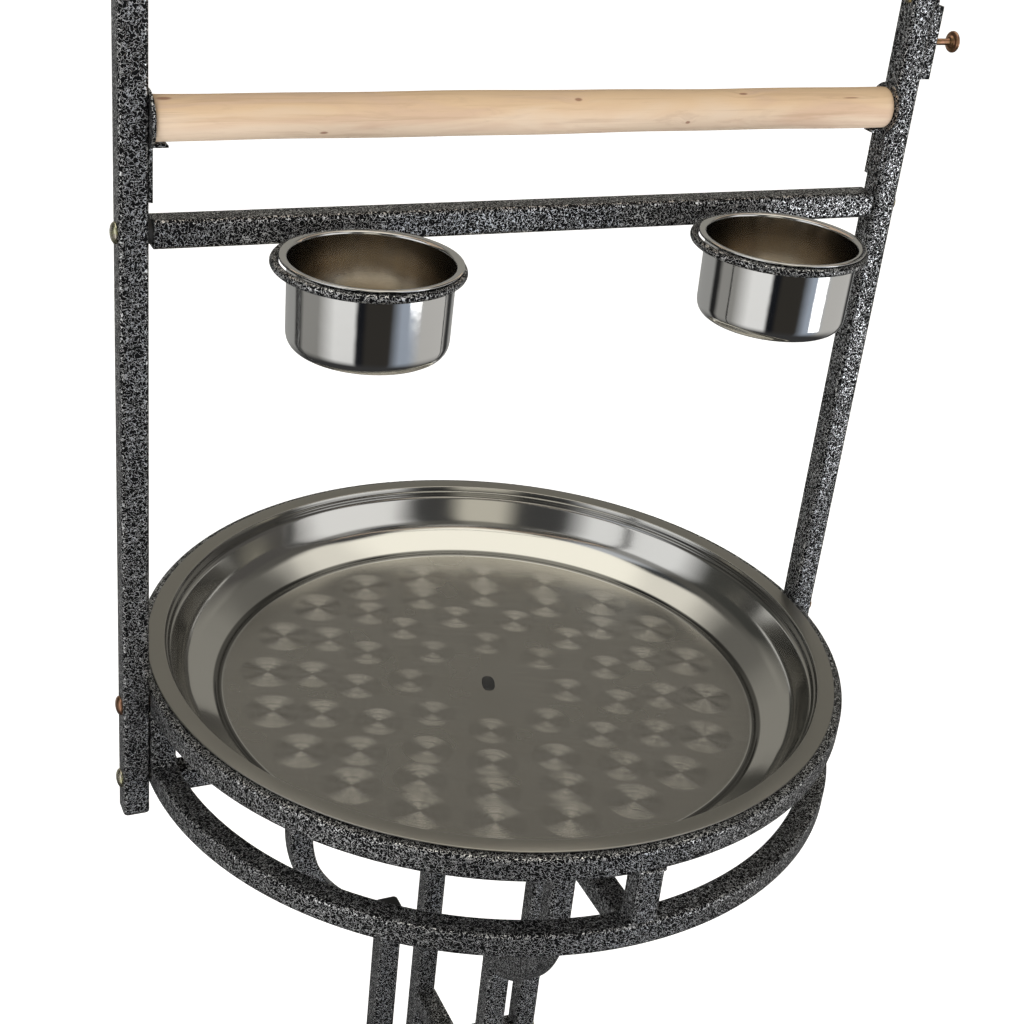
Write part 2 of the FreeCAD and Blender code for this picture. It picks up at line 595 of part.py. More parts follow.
for side, sign in SIDES:
    bracket = new_body(f"perch_bracket_{side}")
    head = new_sketch(bracket, "head", "YZ_Plane")
    draw_circle(head, "head", "dims.bracket_head")
    add_pad(bracket, head, "dims.bracket_plate")
    plate = new_sketch(bracket, "plate", "YZ_Plane")
    foot, edge = "dims.bracket_foot - dims.perch_height", "dims.bracket_width/2"
    draw_outline(plate, "plate", [(f"-{edge}", "0"), (f"-{edge}", f"{foot} + 5"), ("0", foot),
                                  (edge, foot), (edge, "0")])
    add_pad(bracket, plate, "dims.bracket_plate")
    tongue = new_sketch(bracket, "tongue", "XZ_Plane")
    under = "-dims.perch_radius - 0.05"
    draw_outline(tongue, "tongue", [
        ("0", under), ("-dims.tongue_reach + 2", under), ("-dims.tongue_reach", f"{under} - 1"),
        ("-dims.tongue_reach", f"{under} - 2.2"), ("0", f"{under} - 2.2")])
    add_pad(bracket, tongue, "8", centred=True)
    screw_hole = new_sketch(bracket, "screw_hole", "XY_Plane")
    draw_circle(screw_hole, "hole", "1.8", "-dims.tongue_reach/2 - 0.5", "0")
    add_pocket(bracket, screw_hole, "60")
    place(bracket, f"{sign}*({PERCH_REACH})", "0", "dims.ring_top + dims.perch_height",
          90 - 90 * sign)

screw = pattern_shape("perch_screw")
screw_half = new_sketch(screw, "half", "XZ_Plane")
draw_outline(screw_half, "screw", [("0", "-1.8"), ("2.4", "-1.8"), ("3.2", "0"), ("1.7", "0"),
                                   ("1.7", "11"), ("0", "11")])
add_turning(screw, screw_half)
doc.recompute()
screw_level = number("dims.ring_top + dims.perch_height - dims.perch_radius - 2.25")
grouped("perch_screws", screw.Shape,
        [Placement(Vector(sign * number(SCREW_REACH), 0, screw_level), Rotation())
         for side, sign in SIDES])

# ---------------------------------------------------------------- toy arm

ARM_REACH = "dims.upright_offset + dims.tube/2 + dims.sleeve/2"
sleeve = new_body("arm_sleeve")
sleeve_section = new_sketch(sleeve, "section", "XY_Plane", "dims.sleeve_foot")
draw_rounded(sleeve_section, "outer", "dims.sleeve", "1.2")
add_pad(sleeve, sleeve_section, "dims.sleeve_length")
sleeve_bore = new_sketch(sleeve, "bore", "XY_Plane", "dims.sleeve_foot + dims.sleeve_length")
draw_circle(sleeve_bore, "bore", "dims.arm_bore")
add_pocket(sleeve, sleeve_bore, "2*(dims.sleeve_length - 2)")
sleeve_thread = new_sketch(sleeve, "thread", "YZ_Plane", "dims.sleeve/2")
draw_circle(sleeve_thread, "thread", "dims.screw_bore", "0", "dims.screw_height")
add_pocket(sleeve, sleeve_thread, "dims.sleeve - 2")
place(sleeve, ARM_REACH, "0", "dims.ring_top")


def build_arm():
    """Toy arm: a round rod with a shepherd's crook that ends in a small open hook."""
    arm = new_body("toy_arm")
    bend, hook = number("dims.arm_bend"), number("dims.arm_hook")
    foot, top = number("dims.sleeve_foot + 2.3"), number("dims.arm_top")
    low = top - number("dims.arm_drop")
    path = new_sketch(arm, "path", "YZ_Plane")
    rod = path.addGeometry(Part.LineSegment(Vector(0, foot, 0), Vector(0, top, 0)))
    crook = path.addGeometry(Part.ArcOfCircle(
        Part.Circle(Vector(-bend, top, 0), Vector(0, 0, 1), bend), 0, math.pi))
    drop = path.addGeometry(Part.LineSegment(Vector(-2 * bend, top, 0), Vector(-2 * bend, low, 0)))
    curl = path.addGeometry(Part.ArcOfCircle(
        Part.Circle(Vector(hook - 2 * bend, low, 0), Vector(0, 0, 1), hook), math.pi, 2 * math.pi))
    path.addConstraint(Sketcher.Constraint("Tangent", rod, 2, crook, 1))
    path.addConstraint(Sketcher.Constraint("Tangent", crook, 2, drop, 1))
    path.addConstraint(Sketcher.Constraint("Tangent", drop, 2, curl, 1))
    pin_point(path, rod, 1, "foot", "0", "dims.sleeve_foot + 2.3")
    pin_point(path, crook, 3, "crook", "-dims.arm_bend", "dims.arm_top")
    bind(path, Sketcher.Constraint("Radius", crook, bend), "bend", "dims.arm_bend")
    pin_point(path, curl, 3, "curl", "dims.arm_hook - 2*dims.arm_bend", "dims.arm_top - dims.arm_drop")
    bind(path, Sketcher.Constraint("Radius", curl, hook), "hook", "dims.arm_hook")
    bind(path, Sketcher.Constraint("DistanceY", -1, 1, curl, 2, low), "tip", "dims.arm_top - dims.arm_drop")
    section = new_sketch(arm, "section", "XY_Plane", "dims.sleeve_foot + 2.3")
    draw_circle(section, "rod", "dims.arm_radius")
    add_pipe(arm, section, path)
    place(arm, ARM_REACH, "0", "dims.ring_top")


build_arm()

thumbscrew = new_body("thumbscrew")
screw_side = new_sketch(thumbscrew, "side", "XY_Plane")
DISC = "dims.sleeve/2 + dims.screw_reach"
draw_outline(screw_side, "thumbscrew", [
    ("dims.arm_radius + 0.3", "0"), (f"{DISC} + 3.4", "0"), (f"{DISC} + 3.4", "4.8"),
    (f"{DISC} + 2.6", "6.5"), (f"{DISC} + 1.4", "6.5"), (f"{DISC} + 1", "4"), (f"{DISC} - 1.6", "3.4"),
    (f"{DISC} - 1.8", "dims.screw_radius"), ("dims.arm_radius + 0.3", "dims.screw_radius")])
add_turning(thumbscrew, screw_side, "H_Axis")
place(thumbscrew, ARM_REACH, "0", "dims.ring_top + dims.screw_height")

# ---------------------------------------------------------------- tray

tray = new_body("tray")
tray_half = new_sketch(tray, "half", "XZ_Plane")
FLOOR = "-dims.tray_depth"
draw_outline(tray_half, "tray", [
    ("0", FLOOR), ("dims.tray_floor", FLOOR), ("dims.tray_floor + 17", "-29"),
    ("dims.tray_floor + 28", "-6"), ("dims.tray_radius - 13", "dims.lift_gap"),
    ("dims.tray_radius", "dims.lift_gap"), ("dims.tray_radius", "dims.lift_gap + dims.tray_sheet"),
    ("dims.tray_radius - 13.4", "dims.lift_gap + dims.tray_sheet"), ("dims.tray_floor + 26.9", "-5.4"),
    ("dims.tray_floor + 15.9", "-28.4"), ("dims.tray_floor - 0.4", f"{FLOOR} + dims.tray_sheet"),
    ("0", f"{FLOOR} + dims.tray_sheet")])
add_turning(tray, tray_half)
place(tray, z="dims.ring_top")

# ---------------------------------------------------------------- check and export

doc.recompute()
for item in doc.Objects:
    if "Invalid" in item.State or "Error" in item.State:
        raise RuntimeError(f"{item.Label} did not compute: {item.State}")

os.makedirs("parts", exist_ok=True)
for part in BODY_PARTS:
    shape = part.Shape
    if shape.isNull() or not shape.isValid():
        raise RuntimeError(f"{part.Label} has no valid shape")
    shape.exportStep(f"parts/{part.Label}.step")
    print(f"{part.Label:24s} {len(shape.Solids):2d} solids {shape.Volume:10.0f} mm3")
print(len(BODY_PARTS), "nodes")
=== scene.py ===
import json
import math

import bmesh
import bpy
import numpy as np
from mathutils import Matrix, Vector


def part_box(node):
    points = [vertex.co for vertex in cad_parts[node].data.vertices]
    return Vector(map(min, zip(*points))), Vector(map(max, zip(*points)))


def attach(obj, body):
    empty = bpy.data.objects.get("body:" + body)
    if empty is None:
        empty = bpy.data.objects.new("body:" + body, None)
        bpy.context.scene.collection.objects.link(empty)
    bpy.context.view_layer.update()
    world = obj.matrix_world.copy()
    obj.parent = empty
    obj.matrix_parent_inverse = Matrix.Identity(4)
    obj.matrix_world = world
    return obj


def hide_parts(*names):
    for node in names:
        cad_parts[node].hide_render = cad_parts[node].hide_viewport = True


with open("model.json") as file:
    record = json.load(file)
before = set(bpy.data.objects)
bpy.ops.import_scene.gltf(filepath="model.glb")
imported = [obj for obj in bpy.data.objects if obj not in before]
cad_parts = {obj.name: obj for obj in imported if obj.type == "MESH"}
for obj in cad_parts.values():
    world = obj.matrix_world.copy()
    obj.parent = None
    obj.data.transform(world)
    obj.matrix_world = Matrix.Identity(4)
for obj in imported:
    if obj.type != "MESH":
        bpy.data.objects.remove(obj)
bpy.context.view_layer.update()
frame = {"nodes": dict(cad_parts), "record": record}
nodes = frame["nodes"]
print("frame loaded:", len(nodes), "nodes")

tube = dict(side=0.016, corner=0.0026, support=0.0004)  # square tube the whole stand is made of
quarters = dict(left=(-1, 0), front=(0, -1), right=(1, 0), back=(0, 1))
sides = dict(left=-1, right=1)


def low(node):
    return np.array(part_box(node)[0])


def high(node):
    return np.array(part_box(node)[1])


def middle(node):
    return (low(node) + high(node)) / 2


# shader wiring

class Wire:
    # one output socket; + - * / on it add Math nodes

    def __init__(self, tree, socket):
        self.tree, self.socket = tree, socket

    def maths(self, operation, *values):
        return self.node("ShaderNodeMath", dict(operation=operation), *values)

    def node(self, kind, settings, *values, out=0, **named):
        # any node: settings first (stops fill a ramp), then values or wires, by order or by name
        made = self.tree.nodes.new(kind)
        for key, value in settings.items():
            if key == "stops":
                fillRamp(made.color_ramp, value)
            else:
                setattr(made, key, value)
        slots = [(made.inputs[i], value) for i, value in enumerate(values)]
        slots += [(made.inputs[key.replace("_", " ")], value) for key, value in named.items()]
        for slot, value in slots:
            if isinstance(value, Wire):
                self.tree.links.new(value.socket, slot)
            elif value is not None:
                slot.default_value = value
        return Wire(self.tree, made.outputs[out])

    def mix(self, first, second):
        # colour that goes from first to second as this wire goes from 0 to 1
        return self.node("ShaderNodeMix", dict(data_type="RGBA"), self, None, None, None, None, None,
                         first, second, out=2)

    def step(self, start, end):
        # smooth rise from 0 at start to 1 at end
        return self.node("ShaderNodeMapRange", dict(interpolation_type="SMOOTHSTEP"), self,
                         start, end, 0.0, 1.0)

    def split(self):
        return [self.node("ShaderNodeSeparateXYZ", {}, self, out=i) for i in range(3)]

    def noise(self, scale, detail=2.0, roughness=0.5, distortion=0.0):
        return self.node("ShaderNodeTexNoise", {}, Vector=self, Scale=scale, Detail=detail,
                         Roughness=roughness, Distortion=distortion)

    def stretch(self, scale):
        return self.node("ShaderNodeMapping", {}, Vector=self, Scale=scale)

    def bump(self, distance, strength=1.0):
        return self.node("ShaderNodeBump", {}, Strength=strength, Distance=distance, Height=self)

    def __add__(self, other):
        return self.maths("ADD", self, other)

    def __sub__(self, other):
        return self.maths("SUBTRACT", self, other)

    def __rsub__(self, other):
        return self.maths("SUBTRACT", other, self)

    def __mul__(self, other):
        return self.maths("MULTIPLY", self, other)

    def __truediv__(self, other):
        return self.maths("DIVIDE", self, other)

    __radd__ = __add__
    __rmul__ = __mul__


def fillRamp(ramp, stops):
    while len(ramp.elements) > 1:
        ramp.elements.remove(ramp.elements[-1])
    for i, (place, colour) in enumerate(stops):
        element = ramp.elements[0] if i == 0 else ramp.elements.new(place)
        element.position = place
        element.color = (*colour, 1.0)


def newMaterial(name):
    # returns the material, a wire of Object coordinates and a call that fills the surface
    material = bpy.data.materials.new(name)
    material.use_nodes = True
    tree = material.node_tree
    surface = tree.nodes["Principled BSDF"]
    spot = Wire(tree, tree.nodes.new("ShaderNodeTexCoord").outputs["Object"])

    def fill(**inputs):
        for key, value in inputs.items():
            slot = surface.inputs[key.replace("_", " ")]
            if isinstance(value, Wire):
                tree.links.new(value.socket, slot)
            else:
                slot.default_value = value

    return material, spot, fill


hammer = dict(grain=600, wiggle=0.7, level=0.50, line=0.019, soft=0.047, relief=0.00014,
              rough=0.42, shine=0.19, specular=0.13,
              dark=(0.003, 0.003, 0.0035, 1), silver=(0.98, 0.985, 0.99, 1))


def hammertonePaint():
    # silver lines along the level set of a noise, which makes a worm-like net on black paint;
    # a slow drift makes the net thicker in some places than in others
    material, spot, fill = newMaterial("hammertonePaint")
    drift = spot.noise(22, 2.0)
    cells = spot.noise(hammer["grain"], 0.6, 0.5, hammer["wiggle"])
    near = spot.maths("ABSOLUTE", cells - hammer["level"]) - (drift - 0.5) * 0.02
    net = near.step(hammer["soft"], hammer["line"])
    pits = spot.noise(hammer["grain"] * 2.3, 1.0)
    silver = net * pits.step(0.28, 0.44)
    fill(Base_Color=silver.mix(hammer["dark"], hammer["silver"]),
         Metallic=silver,
         Roughness=hammer["rough"] - silver * hammer["shine"] + pits * 0.06,
         Specular_IOR_Level=hammer["specular"],
         Normal=(silver + pits * 0.4).bump(hammer["relief"], 0.55))
    return material


wood = dict(radius=0.0125, pale=(0.715, 0.565, 0.43), honey=(0.70, 0.495, 0.305), rose=(0.60, 0.42, 0.32),
            dark=(0.36, 0.21, 0.12), knot=(0.23, 0.085, 0.045), smudge=(0.46, 0.31, 0.21))
# knots and marks: place along the perch, round it (0 is its front), half length, half width
knots = [(-0.138, -0.60, 0.0024, 0.0011), (0.012, 0.85, 0.0024, 0.0012), (0.083, -0.35, 0.0016, 0.0011),
         (0.121, 1.05, 0.0030, 0.0009), (0.196, 0.75, 0.0060, 0.0004), (0.060, 3.3, 0.003, 0.002),
         (-0.060, 2.4, 0.004, 0.002), (-0.2225, 1.22, 0.0042, 0.0015)]


def perchWood():
    # straight grain drawn out along the perch, bent round each knot; honey on top, paler and rosier below, the
    # paler underside being painted light from the floor; with fine fibres and a few brown smudges
    material, spot, fill = newMaterial("perchWood")
    x, y, z = spot.split()
    height = (z - middle("perch")[2]) / wood["radius"]
    around = x.maths("ARCTAN2", height, (0 - y) / wood["radius"])
    knotted, bent = 0.0, 0.0
    for along, turn, long, wide in knots:
        dx = (x - along) / long
        dy = (around - turn) * wood["radius"] / wide
        away = x.maths("SQRT", dx * dx + dy * dy)
        knotted = x.maths("MAXIMUM", knotted, away.step(1.25, 0.55))
        bent = bent + away.step(6.0, 0.5) * 0.003
    grid = x.node("ShaderNodeCombineXYZ", {}, x, around * wood["radius"] + bent, bent)
    grain = grid.stretch((9, 260, 60)).noise(1.0, 5.0, 0.6, 0.4)
    fibre = grid.stretch((60, 1900, 60)).noise(1.0, 3.0, 0.6)
    broad = grid.stretch((9, 46, 20)).noise(1.0, 3.0, 0.55, 1.2)
    smudge = grid.stretch((22, 90, 40)).noise(1.0, 4.0, 0.65, 1.0).step(0.55, 0.72)
    # painted light: the rod's underside is painted paler than its honey top, standing in for light thrown up
    # from the floor
    upper = (height + (broad - 0.5) * 2.2).step(-0.55, 0.75)
    base = upper.mix((*wood["pale"], 1), (*wood["honey"], 1))
    rosy = (broad.step(0.44, 0.66) * 0.55).mix(base, (*wood["rose"], 1))
    lined = (grain.step(0.50, 0.68) * 0.27 + fibre.step(0.54, 0.74) * 0.12).mix(rosy, (*wood["dark"], 1))
    marked = (smudge * 0.28).mix(lined, (*wood["smudge"], 1))
    fill(Base_Color=(knotted * 0.75).mix(marked, (*wood["knot"], 1)),
         Roughness=0.56 + grain * 0.14,
         Normal=(grain * 0.6 + fibre * 0.5 - knotted * 0.8).bump(0.00020, 0.55))
    return material


steel = dict(bright=(0.74, 0.735, 0.72, 1), warm=(0.50, 0.41, 0.29, 1), brim=(0.40, 0.385, 0.35, 1))


def cupSteel():
    # mirror outside, satin inside with a painted warm reflection in its colour; the mesh says which by its
    # attribute "inside"
    material, spot, fill = newMaterial("cupSteel")
    inside = spot.node("ShaderNodeAttribute", dict(attribute_name="inside"), out=2)
    lines = spot.stretch((30, 30, 2400)).noise(1.0, 2.0)
    smear = spot.noise(35, 3.0)
    # painted reflection: the warm brown inside colour stands in for surroundings seen in the steel
    fill(Base_Color=inside.mix(steel["bright"], steel["warm"]),
         Metallic=1.0,
         Roughness=0.05 + smear * 0.05 + inside * (0.11 + lines * 0.08),
         Normal=(lines * inside * 0.15 + smear * 1.6).bump(0.00030, 0.30))
    return material


# rings of swirl marks on the tray's floor: how far out, how many, how wide, how strong
swirls = [(0.053, 8, 0.016, 0.55), (0.088, 13, 0.017, 0.7), (0.118, 16, 0.018, 0.8), (0.1475, 20, 0.020, 1.0)]
trayLook = dict(floor=(0.475, 0.458, 0.425, 1), wall=(0.66, 0.65, 0.62, 1), floorEdge=0.1765, brimEdge=0.2134,
                scratch=2.6, brushing=0.35, brushTurn=-23.8,
                stain=(0.36, 0.335, 0.285, 1), seam=(0.06, 0.058, 0.052, 1))


def traySteel():
    # polished wall, matte brim, and a satin floor with swirl marks: inside each mark the scratches run
    # in circles, so the normal tips to and fro along the line to the mark's centre
    material, spot, fill = newMaterial("traySteel")
    x, y = spot.split()[:2]
    out = x.maths("SQRT", x * x + y * y)
    angle = x.maths("ARCTAN2", y, x)
    patch = spot.noise(26, 2.0)
    tipX, tipY, marked = 0.0, 0.0, 0.0
    for reach, count, size, strength in swirls:
        share = 2 * math.pi / count
        turn = x.maths("ROUND", angle / share + 0.31 * count) * share - 0.31 * count * share
        dx = x - x.maths("COSINE", turn) * reach
        dy = y - x.maths("SINE", turn) * reach
        away = x.maths("SQRT", dx * dx + dy * dy)
        disc = away.step(size, size * 0.80)
        scratches = away.node("ShaderNodeTexNoise", dict(noise_dimensions="1D"), W=away, Scale=7000,
                              Detail=1.0)
        tip = (scratches - 0.5) * disc * (strength * trayLook["scratch"])
        tipX = dx / (away + 0.0006) * tip + (1 - disc) * tipX
        tipY = dy / (away + 0.0006) * tip + (1 - disc) * tipY
        marked = x.maths("MAXIMUM", marked, disc)
    floor = out.step(trayLook["floorEdge"], trayLook["floorEdge"] - 0.001)
    brim = out.step(trayLook["brimEdge"], trayLook["brimEdge"] + 0.0006)
    brushTurn = math.radians(trayLook["brushTurn"])
    alongX, alongY = math.cos(brushTurn), math.sin(brushTurn)
    brushed = x.node("ShaderNodeCombineXYZ", {}, x * alongX + y * alongY, y * alongX - x * alongY, 0.0)
    lines = (brushed.stretch((14, 3600, 1)).noise(1.0, 2.0) - 0.5) * (1 - marked) * trayLook["brushing"]
    tipX = (tipX - lines * alongY) * floor
    tipY = (tipY + lines * alongX) * floor
    ripple = (spot.noise(16, 2.0) - 0.5) * (1 - floor) * 0.10
    tilt = x.node("ShaderNodeCombineXYZ", {}, tipX + ripple, tipY + ripple, 0.0)
    normal = x.node("ShaderNodeNewGeometry", {}, out=1)
    tilted = x.node("ShaderNodeVectorMath", dict(operation="NORMALIZE"),
                    x.node("ShaderNodeVectorMath", dict(operation="ADD"), normal, tilt))
    stain = spot.noise(9, 4.0, 0.6, 0.8)
    floorTone = (patch.step(0.35, 0.70) * 0.16 + stain * 0.10).mix(trayLook["floor"], trayLook["stain"])
    # painted shade: the fine groove at the floor's edge and the stepped bead below the brim are painted near
    # black
    grooveShade = out.step(0.1766, 0.1774) * out.step(0.1832, 0.1818) * 0.82
    beadShade = out.step(0.2094, 0.2106) * out.step(0.2136, 0.2128) * 0.55
    metal = x.maths("MAXIMUM", floor, brim).mix(trayLook["wall"], brim.mix(floorTone, steel["brim"]))
    fill(Base_Color=x.maths("MAXIMUM", grooveShade, beadShade).mix(metal, trayLook["seam"]),
         Metallic=1.0,
         Roughness=0.09 + spot.noise(20, 3.0) * 0.05 + floor * (0.12 + patch * 0.06) * (1 - marked * 0.5)
         + brim * 0.24,
         Normal=tilted)
    return material


def platedSteel(name, colour, tint, roughness):
    # plated fastener: thin uneven plating that shifts in colour
    material, spot, fill = newMaterial(name)
    film = spot.noise(260, 2.0, 0.5, 0.8)
    wear = spot.noise(1400, 2.0)
    fill(Base_Color=film.step(0.42, 0.62).mix((*colour, 1), (*tint, 1)),
         Metallic=1.0, Roughness=roughness + wear * 0.12,
         Normal=wear.bump(0.00005, 0.3))
    return material


def mouldedPlastic(name, colour, roughness, grain):
    material, spot, fill = newMaterial(name)
    skin = spot.noise(grain, 3.0, 0.6)
    fill(Base_Color=skin.step(0.3, 0.8).mix((*colour, 1), (*[min(1, c * 1.8 + 0.006) for c in colour], 1)),
         Roughness=roughness + skin * 0.15, Normal=skin.bump(0.0001, 0.4))
    return material


paint = hammertonePaint()
perchFinish = perchWood()
cupFinish = cupSteel()
trayFinish = traySteel()
yellowZinc = platedSteel("yellowZinc", (0.72, 0.70, 0.46), (0.66, 0.60, 0.50), 0.20)
copperZinc = platedSteel("copperZinc", (0.56, 0.30, 0.19), (0.38, 0.22, 0.11), 0.24)
whiteZinc = platedSteel("whiteZinc", (0.62, 0.63, 0.64), (0.50, 0.52, 0.55), 0.26)
blackPlastic = mouldedPlastic("blackPlastic", (0.014, 0.014, 0.014), 0.42, 900)
castorRubber = mouldedPlastic("castorRubber", (0.022, 0.022, 0.023), 0.55, 700)
castorHub = mouldedPlastic("castorHub", (0.10, 0.10, 0.105), 0.38, 500)
labelInk = mouldedPlastic("labelInk", (0.010, 0.010, 0.011), 0.35, 800)
finishes = dict(frame_paint=paint, stainless=cupFinish, wood=perchFinish, zinc=whiteZinc,
                yellow_zinc=yellowZinc, copper_zinc=copperZinc, black_plastic=blackPlastic,
                castor_tread=castorRubber)
slotOf = {entry["node"]: entry["material_slot"] for entry in frame["record"]["subparts"]}
for name, node in nodes.items():
    node.data.materials.clear()
    node.data.materials.append(finishes[slotOf[name]])
print("materials ready")


# surfaces

def addPiece(name, points, faces, body, material, replaced=(), materialSlot=None, smooth=True):
    # mesh object that rides on a body; doubles at poles and seams are merged, faces point outwards
    mesh = bpy.data.meshes.new(name)
    mesh.from_pydata(points.reshape(-1, 3).tolist(), [], faces)
    work = bmesh.new()
    work.from_mesh(mesh)
    bmesh.ops.remove_doubles(work, verts=work.verts, dist=1e-6)
    bmesh.ops.dissolve_degenerate(work, edges=work.edges, dist=1e-7)
    bmesh.ops.recalc_face_normals(work, faces=work.faces)
    work.to_mesh(mesh)
    work.free()
    mesh.materials.append(material)
    mesh.polygons.foreach_set("use_smooth", [smooth] * len(mesh.polygons))
    if smooth:
        mesh.set_sharp_from_angle(angle=math.radians(38))
    piece = bpy.data.objects.new(name, mesh)
    bpy.context.scene.collection.objects.link(piece)
    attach(piece, body)
    if replaced:
        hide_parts(*replaced)
    return piece


def gridFaces(rows, columns, closedRows=False, closedColumns=True, start=0):
    # quads between neighbouring grid points, wrapping round where a direction is closed
    i = np.arange(rows if closedRows else rows - 1)[:, None]
    j = np.arange(columns if closedColumns else columns - 1)[None, :]
    k, m = (i + 1) % rows, (j + 1) % columns
    quads = np.stack([i * columns + j, i * columns + m, k * columns + m, k * columns + j], -1)
    return (quads.reshape(-1, 4) + start).tolist()


def joined(parts):
    # several (points, faces) as one
    points, faces, count = [], [], 0
    for spots, polygons in parts:
        spots = spots.reshape(-1, 3)
        points.append(spots)
        faces += [[index + count for index in polygon] for polygon in polygons]
        count += len(spots)
    return np.vstack(points), faces


def squareSection(side=tube["side"], corner=tube["corner"], steps=6):
    # rounded square: a quarter arc in each corner, and a support point just inside each flat
    turn = np.linspace(0, math.pi / 2, steps)
    hub, support = side / 2 - corner, tube["support"]
    arc = hub + corner * np.stack([np.cos(turn), np.sin(turn)], 1)
    quarter = np.vstack([[side / 2, hub - support], arc, [hub - support, side / 2]])
    x, y = quarter[:, 0], quarter[:, 1]
    return np.vstack([np.stack(pair, 1) for pair in ((x, y), (-y, x), (-x, -y), (y, -x))])


def roundSection(radius, steps=24):
    turn = np.linspace(0, 2 * math.pi, steps, endpoint=False)
    return radius * np.stack([np.cos(turn), np.sin(turn)], 1)


def bentLine(start, heading, moves, stepAngle=3.0):
    # line drawn in a plane: ("go", length) runs straight, ("turn", radius, degrees) bends left when
    # degrees is positive; gives points and headings as arrays
    spot, angle = np.array(start, float), math.radians(heading)
    points, angles = [spot[None, :]], [np.array([angle])]
    for move in moves:
        if move[0] == "go":
            spot = spot + move[1] * np.array([math.cos(angle), math.sin(angle)])
            points.append(spot[None, :])
            angles.append(np.array([angle]))
        else:
            radius, sweep = move[1], math.radians(move[2])
            hub = spot + radius * math.copysign(1, sweep) * np.array([-math.sin(angle), math.cos(angle)])
            share = np.linspace(0, 1, max(3, int(abs(move[2]) / stepAngle) + 1))[1:]
            along = angle + sweep * share
            offset = np.stack([np.sin(along), -np.cos(along)], 1) * radius * math.copysign(1, sweep)
            points.append(hub + offset)
            angles.append(along)
            spot, angle = hub + offset[-1], angle + sweep
    return np.vstack(points), np.concatenate(angles)


def carried(section, line, angles, along, up, origin=(0, 0, 0), closed=False):
    # section carried along a flat line: point = origin + line + section x across + section y out of plane
    along, up, origin = (np.array(v, float) for v in (along, up, origin))
    out = np.cross(along, up)
    centres = origin + line[:, :1] * along + line[:, 1:] * up
    across = -np.sin(angles)[:, None] * along + np.cos(angles)[:, None] * up
    grid = (centres[:, None, :] + section[None, :, :1] * across[:, None, :] + section[None, :, 1:] * out)
    rows, columns = grid.shape[:2]
    faces = gridFaces(rows, columns, closedRows=closed)
    if not closed:
        faces += [list(range(columns)), list(range((rows - 1) * columns, rows * columns))]
    return grid, faces


def turned(profile, count=96):
    # profile of (radius, height) carried once round +Z: x = radius cos a, y = radius sin a
    profile = np.array(profile, float)
    angle = np.linspace(0, 2 * math.pi, count, endpoint=False)
    radius, height = profile[:, :1], profile[:, 1:]
    grid = np.stack([radius * np.cos(angle), radius * np.sin(angle), height + 0 * angle], -1)
    return grid, gridFaces(len(profile), count)


def eased(corners, cuts, steps=6):
    # outline whose inner corners are rounded: a quadratic curve from cut before to cut after each corner
    corners = np.array(corners, float)
    cuts = np.broadcast_to(cuts, len(corners))
    share = np.linspace(0, 1, steps)[:, None]
    rows = [corners[:1]]
    for before, corner, after, cut in zip(corners[:-2], corners[1:-1], corners[2:], cuts[1:-1]):
        start = corner + (before - corner) * min(0.5, cut / np.linalg.norm(before - corner))
        end = corner + (after - corner) * min(0.5, cut / np.linalg.norm(after - corner))
        rows.append((1 - share) ** 2 * start + 2 * share * (1 - share) * corner + share ** 2 * end)
    rows.append(corners[-1:])
    return np.vstack(rows)


def aimed(part, axis, origin):
    # part made round +Z, turned so that its +Z lies along axis, then moved
    turn = np.array(Vector(axis).to_track_quat("Z", "Y").to_matrix())
    return part[0].reshape(-1, 3) @ turn.T + np.array(origin, float), part[1]


def softened(node, width, material, body="stand"):
    # merged copy of a CAD node with small rounded edges
    source = nodes[node]
    mesh = source.data.copy()
    work = bmesh.new()
    work.from_mesh(mesh)
    bmesh.ops.remove_doubles(work, verts=work.verts, dist=1e-6)
    bmesh.ops.dissolve_limit(work, angle_limit=math.radians(1), verts=work.verts, edges=work.edges)
    work.to_mesh(mesh)
    work.free()
    mesh.materials.clear()
    mesh.materials.append(material)
    mesh.polygons.foreach_set("use_smooth", [True] * len(mesh.polygons))
    mesh.set_sharp_from_angle(angle=math.radians(30))
    words = node.split("_")
    piece = bpy.data.objects.new(words[0] + "".join(w.title() for w in words[1:]) + "Soft", mesh)
    bpy.context.scene.collection.objects.link(piece)
    bevel = piece.modifiers.new("edges", "BEVEL")
    bevel.width, bevel.segments, bevel.limit_method = width, 3, "ANGLE"
    bevel.angle_limit = math.radians(32)
    bevel.harden_normals = True
    bevel.use_clamp_overlap = True
    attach(piece, body)
    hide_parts(node)


upward = (0, 0, 1)
square = squareSection()


def addTube(name, node, line, angles, along, up, origin, closed=False):
    addPiece(name, *carried(square, line, angles, along, up, origin, closed), "stand", paint, (node,))


# rings, stubs and cross bars

ringCentre = {ring: middle(ring) for ring in ("upper_ring", "lower_ring")}
ringRadius = high("upper_ring")[0] - tube["side"] / 2
ringTop = high("upper_ring")[2]
for ring, name in (("upper_ring", "upperRing"), ("lower_ring", "lowerRing")):
    turns = np.linspace(0, 2 * math.pi, 180, endpoint=False)
    circle = ringRadius * np.stack([np.cos(turns), np.sin(turns)], 1)
    addTube(name, ring, circle, turns + math.pi / 2, (1, 0, 0), (0, 1, 0), (0, 0, ringCentre[ring][2]), True)

for quarter, (dx, dy) in quarters.items():
    stub = f"ring_stub_{quarter}"
    line, angles = bentLine((0, low(stub)[2]), 90, [("go", high(stub)[2] - low(stub)[2])])
    outward = (dx, dy, 0)
    addTube(f"ringStub{quarter.title()}", stub, line, angles, outward, upward, middle(stub) * (1, 1, 0))

